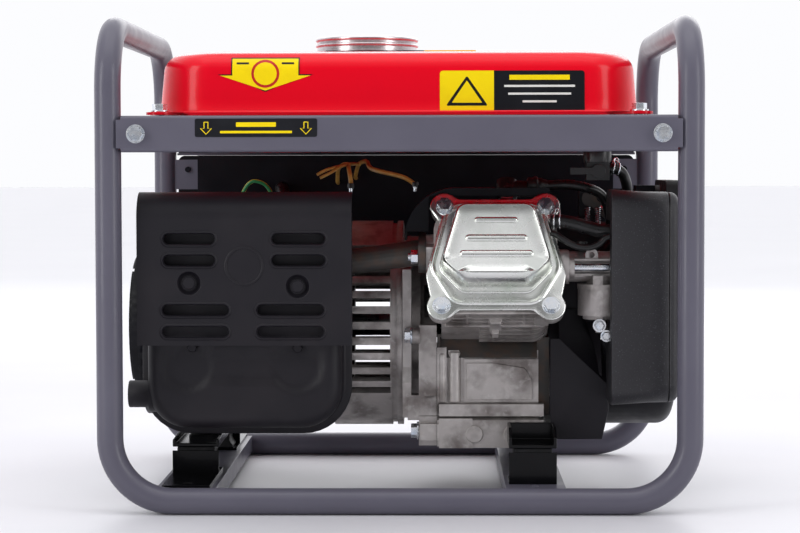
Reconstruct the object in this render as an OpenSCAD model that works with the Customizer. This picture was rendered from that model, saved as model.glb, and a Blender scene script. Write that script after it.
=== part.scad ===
// Portable generator: a single-cylinder engine and an alternator on rubber mounts in a tube frame,
// with a flat steel fuel tank on top. X runs along the crankshaft, -Y is the muffler side,
// +Y is the control panel side, Z is up. The origin is on the floor under the middle. Millimetres.

/* [Frame] */
// Outside length of the tube frame
frame_length = 460; // [452:1:470]
// Outside depth of the tube frame
frame_depth = 365; // [360:1:372]
// Outside height of the tube frame
frame_height = 380; // [378:1:390]
// Outside diameter of the frame tube
tube_d = 20; // [19:0.5:21]
// Wall of the frame tube
tube_wall = 1.5; // [1.2:0.1:2]
// Centre-line radius of the tube bends
bend_r = 48; // [44:1:50]
// Height of the tank rails' top face
rail_top = 302.5; // [300:0.5:306]
// Height of a tank rail
rail_h = 27.5; // [24:0.5:30]

/* [Tank] */
// Length of the tank body at its flange
tank_length = 374; // [350:1:380]
// Depth of the tank body at its flange
tank_depth = 300; // [280:1:304]
// Height of the tank's upper shell above its flange
tank_height = 50; // [40:1:52]
// Outside diameter of the fuel cap
cap_d = 85.5; // [80:0.5:90]

/* [Engine] */
// Height of the crankshaft above the floor
crank_z = 134; // [134:0.5:135]
// Cylinder bore
bore_d = 56; // [52:1:56]
// Piston stroke
stroke = 40; // [38:1:40]
// Tilt of the cylinder above the horizontal
tilt = 25; // [24:0.5:26]
// Middle of the cylinder along the crankshaft
cyl_x = 74; // [73:0.5:75]

/* [Alternator] */
// Outside diameter of the alternator
alternator_d = 170; // [168:1:172]

/* [Exhaust] */
// Width of the muffler over its rim
muffler_w = 164; // [156:1:166]
// Height of the muffler over its rim
muffler_h = 184; // [170:1:188]

/* [Hidden] */
$fn = 48;
e = 0.01;

steel_grey = [0.36, 0.36, 0.39];
black_paint = [0.07, 0.07, 0.08];
tank_red = [0.80, 0.02, 0.06];
cast_grey = [0.62, 0.58, 0.54];
zinc = [0.80, 0.82, 0.82];
rubber = [0.05, 0.05, 0.05];

// Frame centre lines
tube_r = tube_d / 2;
post_x = frame_length / 2 - tube_r;
post_y = frame_depth / 2 - tube_r;
top_z = frame_height - tube_r;
seam_y = -47;
front_y = -frame_depth / 2;

// Tank rails
rail_t = 2;
rail_end_x = post_x - tube_r + 2.5;
rail_flange_x = post_x - tube_r - 1;
rail_flange_w = 32.5;
rail_lip_w = 12;
rail_bottom = rail_top - rail_h;
rail_bolt_x = post_x - 22.5;
rail_bolt_z = rail_top - rail_h / 2;
tank_bolt_x = 182;
tank_bolt_y = 160;
bolt_r = 3;
bolt_hole_r = 3.3;

// Cross members and mounts
cross_top = 18.3;
cross_w = 46;
cross_left_x = -164;
cross_right_x = 104;
floor_bolt_y = 150;
cross_end_y = post_y - tube_r - 0.1;
left_mount = [-164, 75];
right_mount = [102.5, 124];
mount_w = 37;
left_mount_top = 41;
right_mount_top = 46;

// Tank
tank_x = -1.4;
flange_z = rail_top + 1;
upper_z = flange_z + 1;
tank_top = upper_z + tank_height;
cap_x = -29.4;
neck_top = tank_top + 6.5;
tap_pos = [155, -95];

// Engine. The cylinder's own frame has X along the crankshaft, Y up the head and Z along the cylinder.
deck_s = 112;
head_top_s = 142;
cover_drop = -2.6;
case_x0 = 28.5;
case_x1 = 109;
case_cavity_x = 99;
side_x0 = 1;
dipstick = [46, 57];
rod_length = 72;
pin_s = stroke / 2;
journal_r = 12.5;
bearing_r = 26;
bearing_w = 12;
cover_bolts = [[-39.4, 41.7], [39.4, 41.7], [-42, -41.6], [42, -41.6]];
port_in = [-109, 185.5];
port_out = [-101, 196.5];
exhaust_tilt = 10.6;
exhaust_stud = 17;
carb_x = 158;
governor_pivot = [151, 238];
bowl_r = 19;

// Alternator
alt_r = alternator_d / 2;
housing_x0 = -56;
stator_x0 = -120;
bracket_x0 = -178;
end_x0 = -222;
slot_pitch = 8.5;

// Exhaust
muffler_x = -119.8;
muffler_z = 147.5;
rim_y = -121;
muffler_front = -152;
muffler_back = -90.5;
outlet_end = -210.5;
outlet_r = 8.5;
shield_y = -165;
shield_x = [-200, -36.3];
shield_z = [128, 245];
shield_screws = [[-160.3, 175.5], [-77.5, 173]];

// Air side
shroud_x = [117.5, 159];
recoil_x = [159.5, 222];
recoil_r = 84;
rope_y = 30;
rope_z = 241;
air_x = [162.5, 186, 215.5];
air_lid_x = 207;
air_y = [-146, -86];
air_z = [79, 246];
carb_pocket_y = -129.5;
panel_y = 172.2;
panel_top = 274.6;

// ---------------------------------------------------------------- helpers

module box(a, b) {
    translate(a) cube(b - a);
}

module xcyl(x0, x1, r) {
    translate([x0, 0, 0]) rotate([0, 90, 0]) cylinder(r = r, h = x1 - x0);
}

module ycyl(y0, y1, r) {
    translate([0, y0, 0]) rotate([-90, 0, 0]) cylinder(r = r, h = y1 - y0);
}

module zcyl(z0, z1, r) {
    translate([0, 0, z0]) cylinder(r = r, h = z1 - z0);
}

module four(x, y) {
    for (sx = [-1, 1], sy = [-1, 1]) translate([sx * x, sy * y, 0]) children();
}

// Extrudes an outline drawn in (y, z) along X
module along_x(x0, x1) {
    translate([x0, 0, 0]) rotate([90, 0, 90]) linear_extrude(x1 - x0) children();
}

// Extrudes an outline drawn in (x, z) along Y
module along_y(y0, y1) {
    translate([0, y1, 0]) rotate([90, 0, 0]) linear_extrude(y1 - y0) children();
}

// A hexagon flange bolt, head up from z = 0, shank down
module flange_bolt(shank, r = bolt_r) {
    cylinder(r = r * 2.35, h = 1.5);
    cylinder(r = r * 1.93, h = 6.2, $fn = 6);
    translate([0, 0, -shank]) cylinder(r = r, h = shank + e);
}

// A rectangle with round corners, centred, as exact pieces
module round_rect(w, h, r) {
    square([w - 2 * r, h], center = true);
    square([w, h - 2 * r], center = true);
    for (sx = [-1, 1], sy = [-1, 1]) translate([sx * (w / 2 - r), sy * (h / 2 - r)]) circle(r);
}

// Places children in the cylinder's own frame
module on_cylinder() {
    translate([cyl_x, 0, crank_z]) rotate([90 - tilt, 0, 0]) children();
}

// A port's own frame: X along the port, Y across the leaning head, Z up the cylinder
module at_port(port) {
    translate([0, port[0], port[1]]) rotate([90 - tilt, 0, 0]) children();
}

// The exhaust flange's two studs lie nearly level, one behind the other
module at_exhaust() {
    translate([0, port_out[0], port_out[1]]) rotate([exhaust_tilt, 0, 0]) children();
}

function arc(c, r, a0, a1, n = 8) =
    [for (i = [0 : n]) let (a = a0 + (a1 - a0) * i / n) [c[0] + r * cos(a), c[1] + r * sin(a)]];

function unit(v) = v / norm(v);

// Catmull-Rom points between hand-chosen points
function spline(p, n) = [
    for (i = [0 : len(p) - 2], j = [0 : n - 1])
        let (
            a = p[max(i - 1, 0)], b = p[i], c = p[i + 1], d = p[min(i + 2, len(p) - 1)], t = j / n
        )
        0.5 * (2 * b + t * (c - a) + t * t * (2 * a - 5 * b + 4 * c - d)
            + t * t * t * (3 * b - a - 3 * c + d)),
    p[len(p) - 1]
];

// A tube swept along points as one closed polyhedron; side is never along the route
module sweep(points, r, side, sides = 8) {
    n = len(points);
    rings = [
        for (i = [0 : n - 1])
            let (
                t = unit(points[min(i + 1, n - 1)] - points[max(i - 1, 0)]),
                u = unit(cross(t, side)),
                v = cross(t, u)
            )
            for (k = [0 : sides - 1])
                points[i] + r * (cos(360 * k / sides) * u + sin(360 * k / sides) * v)
    ];
    walls = [
        for (i = [0 : n - 2], k = [0 : sides - 1])
            let (m = (k + 1) % sides)
            [i * sides + k, (i + 1) * sides + k, (i + 1) * sides + m, i * sides + m]
    ];
    first = [[for (k = [0 : sides - 1]) k]];
    last = [[for (k = [sides - 1 : -1 : 0]) (n - 1) * sides + k]];
    polyhedron(points = rings, faces = concat(walls, first, last), convexity = 6);
}

// ---------------------------------------------------------------- frame

// A quarter bend of the tube in its own XY plane, from start to start + 90 degrees
module bend(r, start) {
    rotate([0, 0, start]) rotate_extrude(angle = 90) translate([bend_r, 0]) circle(r);
}

module bent_tube(r, top_run, spare) {
    straight = post_x - bend_r;
    low = tube_r + bend_r;
    high = top_z - bend_r;
    translate([0, -post_y, tube_r]) xcyl(-straight, straight, r);
    translate([straight, -post_y, low]) rotate([90, 0, 0]) bend(r, -90);
    translate([-straight, -post_y, low]) rotate([90, 0, 0]) bend(r, 180);
    for (x = [-post_x, post_x]) translate([x, 0, 0]) {
        translate([0, -post_y, 0]) zcyl(low, high, r);
        translate([0, -post_y + bend_r, high]) rotate([90, 0, 90]) bend(r, 90);
        translate([0, 0, top_z]) ycyl(-post_y + bend_r, top_run + spare, r);
    }
}

// One half of the tube frame, drawn on the near side; top_run is where its top tubes end
module frame_half(top_run) {
    difference() {
        bent_tube(tube_r, top_run, 0);
        bent_tube(tube_r - tube_wall, top_run, 1);
    }
    for (side = [0, 1]) mirror([side, 0, 0]) difference() {
        box([185, front_y + rail_t, rail_bottom + 3], [post_x - 8, front_y + rail_t + 3, rail_top - 3.5]);
        translate([rail_bolt_x, 0, rail_bolt_z]) ycyl(front_y, front_y + 10, bolt_hole_r);
    }
}

module frame_near_half() {
    color(steel_grey) frame_half(seam_y);
}

module frame_far_half() {
    color(steel_grey) mirror([0, 1, 0]) {
        frame_half(-seam_y);
        for (sx = [-1, 1]) mirror([sx < 0 ? 1 : 0, 0, 0]) difference() {
            box([188, -170, 244], [post_x - 8, -168, 271]);
            translate([199, 0, 262]) ycyl(-175, -160, 2.7);
        }
    }
}

// A channel, open downwards, between the two bottom tubes
module cross_member(x) {
    difference() {
        box([x - cross_w / 2, -cross_end_y, 4], [x + cross_w / 2, cross_end_y, cross_top]);
        box([x - cross_w / 2 + 2.5, -cross_end_y - 1, 3],
            [x + cross_w / 2 - 2.5, cross_end_y + 1, cross_top - 2.5]);
        for (y = [-floor_bolt_y, floor_bolt_y]) translate([x, y, 0]) zcyl(0, 30, bolt_hole_r);
    }
}

module cross_member_left() {
    color(steel_grey) cross_member(cross_left_x);
}

module cross_member_right() {
    color(steel_grey) cross_member(cross_right_x);
}

// A pressed channel with a wide top flange that carries the tank
module tank_rail() {
    difference() {
        union() {
            along_x(-rail_flange_x, rail_flange_x) polygon(concat(
                arc([front_y + 3, rail_top - 3], 3, 180, 90),
                [[front_y + rail_flange_w, rail_top], [front_y + rail_flange_w, rail_top - rail_t],
                 [front_y + rail_t, rail_top - rail_t], [front_y + rail_t, rail_bottom + rail_t],
                 [front_y + rail_lip_w, rail_bottom + rail_t], [front_y + rail_lip_w, rail_bottom]],
                arc([front_y + 3, rail_bottom + 3], 3, 270, 180)
            ));
            box([-rail_end_x, front_y, rail_bottom + 3], [rail_end_x, front_y + rail_t, rail_top - 3]);
        }
        for (sx = [-1, 1]) {
            translate([sx * rail_bolt_x, 0, rail_bolt_z]) ycyl(front_y - 5, front_y + 5, bolt_hole_r);
            translate([sx * tank_bolt_x, -tank_bolt_y, 0]) zcyl(rail_top - 10, rail_top + 5, bolt_hole_r);
        }
    }
}

module tank_rail_near() {
    color(steel_grey) tank_rail();
}

module tank_rail_far() {
    color(steel_grey) mirror([0, 1, 0]) tank_rail();
}

module rail_and_tank_bolts() {
    color(zinc) {
        for (sy = [-1, 1]) mirror([0, sy < 0 ? 1 : 0, 0]) for (sx = [-1, 1])
            translate([sx * rail_bolt_x, front_y, rail_bolt_z]) rotate([90, 0, 0]) flange_bolt(12);
        four(tank_bolt_x, tank_bolt_y) translate([0, 0, upper_z + 1]) flange_bolt(12);
    }
}

// ---------------------------------------------------------------- mounts

module rubber_block(pos, top) {
    difference() {
        box([pos[0] - 15, pos[1] - 15, cross_top + 2.2], [pos[0] + 15, pos[1] + 15, top]);
        for (sx = [-1, 1]) translate([pos[0] + sx * 21, 0, (cross_top + top) / 2]) ycyl(-200, 200, 9);
    }
}

module rubber_mounts() {
    color(rubber) for (sy = [-1, 1]) {
        rubber_block([left_mount[0], sy * left_mount[1]], left_mount_top);
        rubber_block([right_mount[0], sy * right_mount[1]], right_mount_top);
    }
}

// An angle on a cross member: a foot that reaches out to out_y, and a front plate before the rubber
module lower_bracket(pos, foot_y, top) {
    w = mount_w / 2;
    front = -pos[1] - 17.5;
    difference() {
        box([pos[0] - w, foot_y, cross_top + 0.1], [pos[0] + w, -pos[1] + 15, cross_top + 2.1]);
        if (foot_y < front - 20) translate([cross_left_x, -floor_bolt_y, 0]) zcyl(0, 40, bolt_hole_r);
    }
    box([pos[0] - w, front, cross_top + 0.1], [pos[0] + w, front + 2, top - 3]);
}

module mount_lower_brackets() {
    color(black_paint) for (sy = [0, 1]) mirror([0, sy, 0]) {
        lower_bracket(left_mount, -162, left_mount_top);
        lower_bracket(right_mount, -right_mount[1] - 17.5, right_mount_top);
    }
}

// A pressed pan with side gussets that holds the front of the engine's base on its rubber
module engine_mount_brackets() {
    w = mount_w / 2;
    x = right_mount[0];
    z = right_mount_top + 0.1;
    color(black_paint) for (sy = [0, 1]) mirror([0, sy, 0]) {
        box([x - w, -right_mount[1] - 17, z], [x + w, -98.2, z + 2.5]);
        box([x - w, -101, z], [x + w, -98.2, z + 15.5]);
        for (sx = [-1, 1]) translate([x + sx * (w - 1.25), 0, 0]) along_x(-1.25, 1.25)
            polygon([[-right_mount[1] - 17, z], [-98.2, z], [-98.2, z + 15.5],
                [-right_mount[1] - 8, z + 15.5], [-right_mount[1] - 17, z + 8]]);
    }
}

module alternator_mount_bracket() {
    x = left_mount[0];
    w = mount_w / 2;
    z = left_mount_top + 0.1;
    color(black_paint) {
        box([x - w, -left_mount[1] - 17, z], [x + w, left_mount[1] + 17, z + 3]);
        for (sx = [-1, 1]) translate([x + sx * (w - 1.25), 0, 0]) along_x(-1.25, 1.25)
            polygon([[-left_mount[1] - 17, z], [left_mount[1] + 17, z], [left_mount[1] + 17, z + 6],
                [40, z + 8], [-40, z + 8], [-left_mount[1] - 17, z + 6]]);
    }
}

// ---------------------------------------------------------------- tank

// The upper shell's body, inset all round and closed below
module tank_upper_form(inset) {
    hx = tank_length / 2 - inset;
    hy = tank_depth / 2 - inset;
    edge = 15 - inset / 2;
    corner = 45 - inset;
    shoulder = tank_height - 2.5 - inset;
    translate([tank_x, 0, upper_z]) hull() {
        four(hx - corner, hy - corner) cylinder(r = corner, h = 1, $fn = 40);
        four(hx - 3 - corner, hy - 3 - corner) translate([0, 0, shoulder - edge])
            rotate_extrude($fn = 40) translate([corner - edge, 0]) circle(edge, $fn = 32);
        four(hx - 75, hy - 75) translate([0, 0, tank_height - inset - 1]) cylinder(r = 30, h = 1, $fn = 32);
    }
}

module tank_lower_form(inset) {
    hx = 166 - inset;
    hy = 138 - inset;
    edge = 12 - inset / 2;
    translate([tank_x, 0, 0]) hull() {
        four(hx - 40, hy - 40) translate([0, 0, flange_z]) cylinder(r = 40 - inset, h = 1, $fn = 32);
        four(hx - 46, hy - 46) translate([0, 0, 276 + inset + edge])
            rotate_extrude($fn = 32) translate([40 - inset - edge, 0]) circle(edge, $fn = 24);
    }
}

module tank_flange(z) {
    translate([tank_x, 0, z]) linear_extrude(1) round_rect(tank_length + 12, tank_depth + 12, 34);
    four(tank_bolt_x, tank_bolt_y) zcyl(z, z + 1, 10.5);
    for (sx = [-1, 1], sy = [-1, 1]) translate([sx * tank_bolt_x, sy * tank_bolt_y, z])
        rotate([0, 0, 45 * sx * sy]) translate([sx > 0 ? -26 : 0, -9, 0]) cube([26, 18, 1]);
}

module tank_bolt_holes() {
    four(tank_bolt_x, tank_bolt_y) zcyl(flange_z - 5, upper_z + 5, bolt_hole_r);
}

module tank_upper_shell() {
    color(tank_red) difference() {
        union() {
            tank_upper_form(0);
            tank_flange(upper_z);
        }
        difference() {
            tank_upper_form(1.5);
            box([-250, -250, upper_z - 5], [250, 250, upper_z]);
        }
        translate([tank_x, 0, upper_z - 1]) linear_extrude(3) round_rect(tank_length - 8, tank_depth - 8, 41);
        translate([cap_x, 0, 0]) zcyl(tank_top - 20, tank_top + 1, 33);
        tank_bolt_holes();
    }
}

// Soldered into the tank's top; the cap's skirt slides down round it
module filler_neck() {
    color(tank_red) translate([cap_x, 0, 0]) difference() {
        union() {
            zcyl(tank_top - 6, neck_top, 32.9);
            zcyl(neck_top - 1.5, neck_top, 36);
            zcyl(tank_top + 0.05, tank_top + 1, 36);
        }
        zcyl(tank_top - 7, neck_top + 1, 30);
    }
}

module tank_lower_shell() {
    color(tank_red) difference() {
        union() {
            tank_lower_form(0);
            tank_flange(flange_z);
        }
        translate([tank_x, 0, flange_z - 1]) linear_extrude(3) round_rect(320, 264, 36);
        tank_lower_form(1.5);
        translate([tap_pos[0], tap_pos[1], 0]) zcyl(250, 290, 6);
        tank_bolt_holes();
    }
}

module filler_strainer() {
    color([0.9, 0.9, 0.86]) translate([cap_x, 0, 0]) {
        difference() {
            zcyl(neck_top - 45, neck_top - 2, 27);
            zcyl(neck_top - 43.5, neck_top, 25.8);
            for (a = [0 : 30 : 330], z = [neck_top - 40 : 9 : neck_top - 16])
                rotate([0, 0, a]) translate([24, -3, z]) cube([6, 6, 6]);
        }
        difference() {
            zcyl(neck_top - 3.5, neck_top - 2, 29.9);
            zcyl(neck_top - 5, neck_top, 26.5);
        }
    }
}

// The part of the cap that plugs the neck, with its seal and bayonet plate
module fuel_cap_core() {
    color([0.2, 0.2, 0.2]) translate([cap_x, 0, 0]) {
        zcyl(neck_top - 4.5, neck_top + 8, 22);
        difference() {
            zcyl(neck_top + 0.1, neck_top + 2.1, 37);
            zcyl(neck_top - 1, neck_top + 3, 20);
        }
        zcyl(neck_top + 1, neck_top + 8, 6);
    }
}

module fuel_cap_shell() {
    r = cap_d / 2;
    color(zinc) translate([cap_x, 0, 0]) difference() {
        union() {
            zcyl(neck_top - 3.5, neck_top + 9, r - 0.8);
            zcyl(neck_top - 3.5, neck_top - 1.5, r);
            zcyl(neck_top + 2, neck_top + 4.5, r);
            zcyl(neck_top + 7, neck_top + 9, r);
            zcyl(neck_top + 8, neck_top + 10, r - 3);
        }
        zcyl(neck_top - 5, neck_top + 8.1, r - 2.5);
    }
}

// ---------------------------------------------------------------- fuel line

fuel_route = [
    [165.2, -95, 262], [170, -95, 261.7], [175, -92, 258.5], [178, -86, 253], [180, -81, 245], [180, -80, 232],
    [176, -79, 216], [168, -80, 203], [161, -83, 195], [158, -85, 189], [158, -85, 181.9]
];

module fuel_tap() {
    color([0.12, 0.12, 0.13]) translate([tap_pos[0], tap_pos[1], 0]) {
        zcyl(255, 290, 5.8);
        difference() {
            zcyl(267, 275.8, 11);
            zcyl(266, 277, 5);
        }
        box([-9, -9, 253], [9, 9, 267]);
        translate([0, 0, 262]) xcyl(8, 10, 3.6);
    }
}

module fuel_tap_lever() {
    color([0.7, 0.1, 0.1]) translate([tap_pos[0], tap_pos[1], 260]) {
        ycyl(-14, -9.3, 5.5);
        box([-22, -14, -2.5], [3, -10.5, 3]);
    }
}

module fuel_hose() {
    color(rubber) sweep(spline(fuel_route, 4), 4.2, [0.1, 0.95, 0.2]);
}

// ---------------------------------------------------------------- engine

// Engine section in (y, z): foot, ledge, near face, cylinder seat, breather hump, far side
case_outline = [
    [-96, 42], [-96, 63], [-88, 66], [-88, 118], [-63.4, 111.7], [-23.6, 196.9],
    [-10, 201], [20, 201], [48, 186], [66, 160], [70, 130], [70, 68], [80, 62], [80, 42]
];

// Fins between the two ends of a cylinder, left clear on the push-rod side
module cylinder_fins() {
    for (s = [60 : 8 : 100]) translate([0, 0, s]) linear_extrude(2.4) {
        translate([20, 0]) round_rect(46, 92, 14);
        translate([8, 0]) square([40, 92], center = true);
    }
}

module crankcase() {
    color(cast_grey) difference() {
        union() {
            along_x(case_x0, case_x1) polygon(case_outline);
            box([30, -96, 66], [113, -86, 75.5]);
            box([30, -99, 41], [56.5, -60, 64.5]);
            box([56, -97.5, 41], [113, 78, 63]);
            box([case_x0, -93, 77], [36, -86, 120.5]);
            box([37.5, -90.5, 77], [46, -86, 118]);
            box([50, -91, 77], [case_x1, -86, 111]);
            box([case_x0, -99, 47], [34, -90, 60]);
            on_cylinder() {
                zcyl(46, deck_s, 34);
                box([-42, -42, 46], [-4, 42, deck_s]);
                cylinder_fins();
                translate([0, 0, deck_s - 6]) linear_extrude(6) round_rect(80, 86, 16);
            }
            translate([dipstick[0], 0, dipstick[1]]) ycyl(74, 94, 11);
            translate([0, 0, crank_z]) xcyl(case_cavity_x, case_x1 + 3, bearing_r + 6);
        }
        translate([0, 0, crank_z]) {
            xcyl(case_x0 - 1, case_cavity_x, 56);
            xcyl(case_x0 - 1, case_x1, bearing_r + 0.02);
            xcyl(case_x0 - 1, case_x1 + 5, 18);
        }
        box([case_x0 - 1, -80, 50], [case_cavity_x, 62, 96]);
        on_cylinder() zcyl(20, deck_s + 1, bore_d / 2);
        translate([dipstick[0], 0, dipstick[1]]) ycyl(60, 100, 7);
    }
}

module crankcase_side_cover() {
    color(cast_grey) {
        difference() {
            union() {
                intersection() {
                    along_x(14, case_x0 - 0.3) polygon(case_outline);
                    box([0, -90, 40], [40, 75, 200]);
                }
                box([14, -92, 82], [case_x0 - 0.3, -85, 138]);
                box([5, -88.5, 62], [24, -70, 82]);
                box([15, -97, 47], [case_x0 - 0.3, -86, 60]);
                along_x(side_x0, 8)
                    polygon([[-88, 64], [-88, 92], [-84, 104], [-84, 182], [-50, 190], [-50, 64]]);
                translate([0, 0, crank_z]) xcyl(side_x0, 15, alt_r - 13);
                translate([0, -86, 53.5]) xcyl(14, case_x0 - 0.3, 6.8);
                translate([0, -91.5, 130]) xcyl(9, 15, 6.5);
            }
            translate([0, 0, crank_z]) {
                xcyl(case_x0 - 0.3 - bearing_w, case_x0, bearing_r + 0.02);
                xcyl(18, 40, 50);
                xcyl(-5, case_x0 + 1, 18);
                xcyl(-5, 8, alt_r - 20);
            }
        }
        translate([0, 0, crank_z]) difference() {
            xcyl(case_x0 - 2 - bearing_w, case_x0 - 0.3, bearing_r + 5);
            xcyl(case_x0 - 0.3 - bearing_w, case_x0 + 1, bearing_r + 0.02);
            xcyl(0, 40, 18);
        }
    }
}

module cylinder_head() {
    color(cast_grey) difference() {
        union() {
            on_cylinder() {
                translate([0, 0, deck_s + 0.1]) linear_extrude(22) round_rect(80, 80, 14);
                for (s = [deck_s + 2, deck_s + 9, deck_s + 16])
                    translate([0, 0, s]) linear_extrude(2.6) round_rect(93, 93, 18);
                translate([0, 0, head_top_s - 9]) linear_extrude(9) round_rect(96, 80, 18);
                for (b = cover_bolts) translate([b[0], b[1], 0]) zcyl(head_top_s - 9, head_top_s, 10.5);
                for (x = [-30, 30]) box([x - 9, -44, 126], [x + 9, -34, 136]);
                box([30, -48, 118], [41, -36, 138]);
                box([-4, -50, 117], [4, -36, 126]);
            }
            at_port(port_in) box([100, -15, -8.3], [121, 15, 14]);
            translate([121, port_in[0], port_in[1]])
                rotate([90, 0, 90]) linear_extrude(4) round_rect(40, 26, 8);
            at_exhaust() {
                xcyl(20, 45, 14);
                box([20, -22, -9], [36, 22, 9]);
            }
        }
        on_cylinder() {
            translate([0, 0, head_top_s - 22]) linear_extrude(30) round_rect(64, 62, 12);
            zcyl(deck_s - 1, deck_s + 7, bore_d / 2 - 2);
            box([-60, -70, 60], [60, 70, deck_s + 0.05]);
            for (b = cover_bolts) translate([b[0], b[1], 0])
                zcyl(head_top_s - 12, head_top_s + 1, bolt_hole_r);
            translate([10, 30, 121.5]) rotate([-90, 0, 0]) cylinder(r = 6.5, h = 40);
        }
        at_port(port_in) xcyl(105, 126, 8);
        for (sy = [-1, 1]) translate([0, port_in[0] + sy * 16, port_in[1]]) xcyl(115, 126, 3.1);
        at_exhaust() {
            xcyl(19, 50, 9);
            for (sy = [-1, 1]) translate([0, sy * exhaust_stud, 0]) xcyl(19, 30, 3.2);
        }
    }
}

function cover_outline(grow) = [
    [-27 - grow, 38 + grow], [27 + grow, 38 + grow], [41.5 + grow, -15], [22 + grow, -38 - grow],
    [-22 - grow, -38 - grow], [-41.5 - grow, -15]
];

module cover_dome(grow, s0, s1, r) {
    hull() {
        for (p = cover_outline(grow - r)) translate([p[0], p[1], s0]) cylinder(r = r, h = 1, $fn = 32);
        for (p = cover_outline(grow - 3 - r)) translate([p[0], p[1], s1 - 5])
            rotate_extrude($fn = 32) translate([r - 5, 0]) circle(5, $fn = 24);
    }
}

module valve_cover() {
    color(zinc) on_cylinder() difference() {
        union() {
            translate([0, cover_drop, 0]) cover_dome(2.5, head_top_s + 0.1, 168, 11);
            translate([0, cover_drop, 0]) hull() {
                for (p = [[-34, 28], [34, 28], [44, -24], [34, -33], [-34, -33], [-44, -24]])
                    translate([p[0], p[1], head_top_s + 0.1]) cylinder(r = 10, h = 1.6, $fn = 32);
            }
            for (b = cover_bolts) translate([b[0], b[1], 0]) zcyl(head_top_s + 0.1, head_top_s + 1.7, 12);
        }
        translate([0, cover_drop, -2]) cover_dome(1, head_top_s, 168, 10);
        for (b = cover_bolts) translate([b[0], b[1], 0]) zcyl(head_top_s - 2, head_top_s + 3, bolt_hole_r);
    }
}

// Flange bolts, exhaust nuts, and the two long studs that clamp the carburettor to the head
module engine_bolts() {
    color(zinc) {
        on_cylinder() for (b = cover_bolts) translate([b[0], b[1], head_top_s + 1.8]) flange_bolt(10);
        translate([13.9, -86, 53.5]) rotate([0, -90, 0]) flange_bolt(0);
        translate([8.9, -91.5, 130]) rotate([0, -90, 0]) flange_bolt(0);
        at_exhaust() for (sy = [-1, 1]) translate([13.7, sy * exhaust_stud, 0]) rotate([0, -90, 0]) {
            cylinder(r = 5.8, h = 5.5, $fn = 6);
            cylinder(r = 3, h = 7.8);
        }
        for (sy = [-1, 1]) translate([0, port_in[0] + sy * 16, port_in[1]]) xcyl(121, 186, 2.9);
    }
}

module oil_dipstick() {
    color([0.1, 0.1, 0.1]) translate([dipstick[0], 0, dipstick[1]]) {
        ycyl(94.2, 101, 13);
        ycyl(70, 95, 6.8);
        ycyl(40, 71, 1.5);
        box([-11, 100, -2.5], [11, 107, 2.5]);
    }
}

module spark_plug() {
    color(zinc) on_cylinder() translate([10, 0, 121.5]) rotate([-90, 0, 0]) {
        zcyl(34, 48, 6.4);
        translate([0, 0, 48.4]) cylinder(r = 9.2, h = 8, $fn = 6);
        zcyl(47.9, 49, 8);
        zcyl(55, 66, 4.5);
    }
}

module spark_plug_cap() {
    color(rubber) on_cylinder() translate([10, 0, 121.5]) rotate([-90, 0, 0]) difference() {
        union() {
            zcyl(57, 74, 8);
            translate([0, 0, 67]) rotate([0, 90, 0]) cylinder(r = 6.5, h = 30);
        }
        zcyl(56, 66.2, 4.55);
    }
}

lead_route = [
    [114.4, -83, 248.5], [121, -83, 249], [132, -84, 249.5], [145, -83, 247.5], [157, -80, 243],
    [163, -77, 236], [166, -74, 226], [168.5, -68.5, 212], [169, -64, 200], [169, -62, 188]
];

module ignition_lead() {
    color(rubber) sweep(spline(lead_route, 4), 3.9, [0.1, 0.95, 0.2]);
}

// Two halves with their crank webs; the rod's big end runs between the webs
module crankshaft() {
    color([0.55, 0.55, 0.57]) translate([0, 0, crank_z]) {
        xcyl(bracket_x0 + 8, -60, 7.5);
        xcyl(-62, case_x0 - bearing_w, 11);
        xcyl(case_x0 - bearing_w - 0.5, 55, journal_r - 0.03);
        xcyl(54.5, 65, 34);
        xcyl(83, 94, 34);
        xcyl(93.5, 116, journal_r - 0.03);
        xcyl(115.5, 160, 10);
    }
}

module ball_bearing(x, r_out, r_in, w) {
    difference() {
        xcyl(x, x + w, r_out);
        xcyl(x - 1, x + w + 1, r_in);
        xcyl(x - 1, x + 1, r_out - 4);
        xcyl(x + w - 1, x + w + 1, r_out - 4);
    }
    for (s = [0, w - 1]) difference() {
        xcyl(x + s, x + s + 1, r_in + 4);
        xcyl(x + s - 1, x + s + 2, r_in);
    }
}

module main_bearings() {
    color([0.7, 0.7, 0.72]) translate([0, 0, crank_z]) {
        ball_bearing(case_x0 - 0.3 - bearing_w, bearing_r, journal_r, bearing_w);
        ball_bearing(case_x1 - bearing_w, bearing_r, journal_r, bearing_w);
        ball_bearing(bracket_x0 + 8, 17.5, 7.55, 11);
    }
}

module connecting_rod() {
    color(cast_grey) on_cylinder() difference() {
        union() {
            translate([0, 0, pin_s]) xcyl(-7, 7, 19);
            translate([0, 0, pin_s + rod_length]) xcyl(-6.5, 6.5, 9.5);
            box([-5, -8, pin_s + 16], [5, 8, pin_s + rod_length - 7]);
            translate([0, 0, pin_s]) xcyl(-8.7, 8.7, 13);
        }
        translate([0, 0, pin_s + rod_length]) xcyl(-10, 10, 6.02);
    }
}

module piston() {
    pin = pin_s + rod_length;
    color(cast_grey) on_cylinder() {
        difference() {
            zcyl(pin - 15, pin + 19, bore_d / 2 - 0.05);
            zcyl(pin - 16, pin + 13, bore_d / 2 - 6);
            for (s = [6, 10, 14]) translate([0, 0, pin + s]) difference() {
                zcyl(0, 1.5, 40);
                zcyl(-1, 3, bore_d / 2 - 2);
            }
        }
        translate([0, 0, pin]) xcyl(-22.5, 22.5, 5.9);
    }
}

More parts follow.
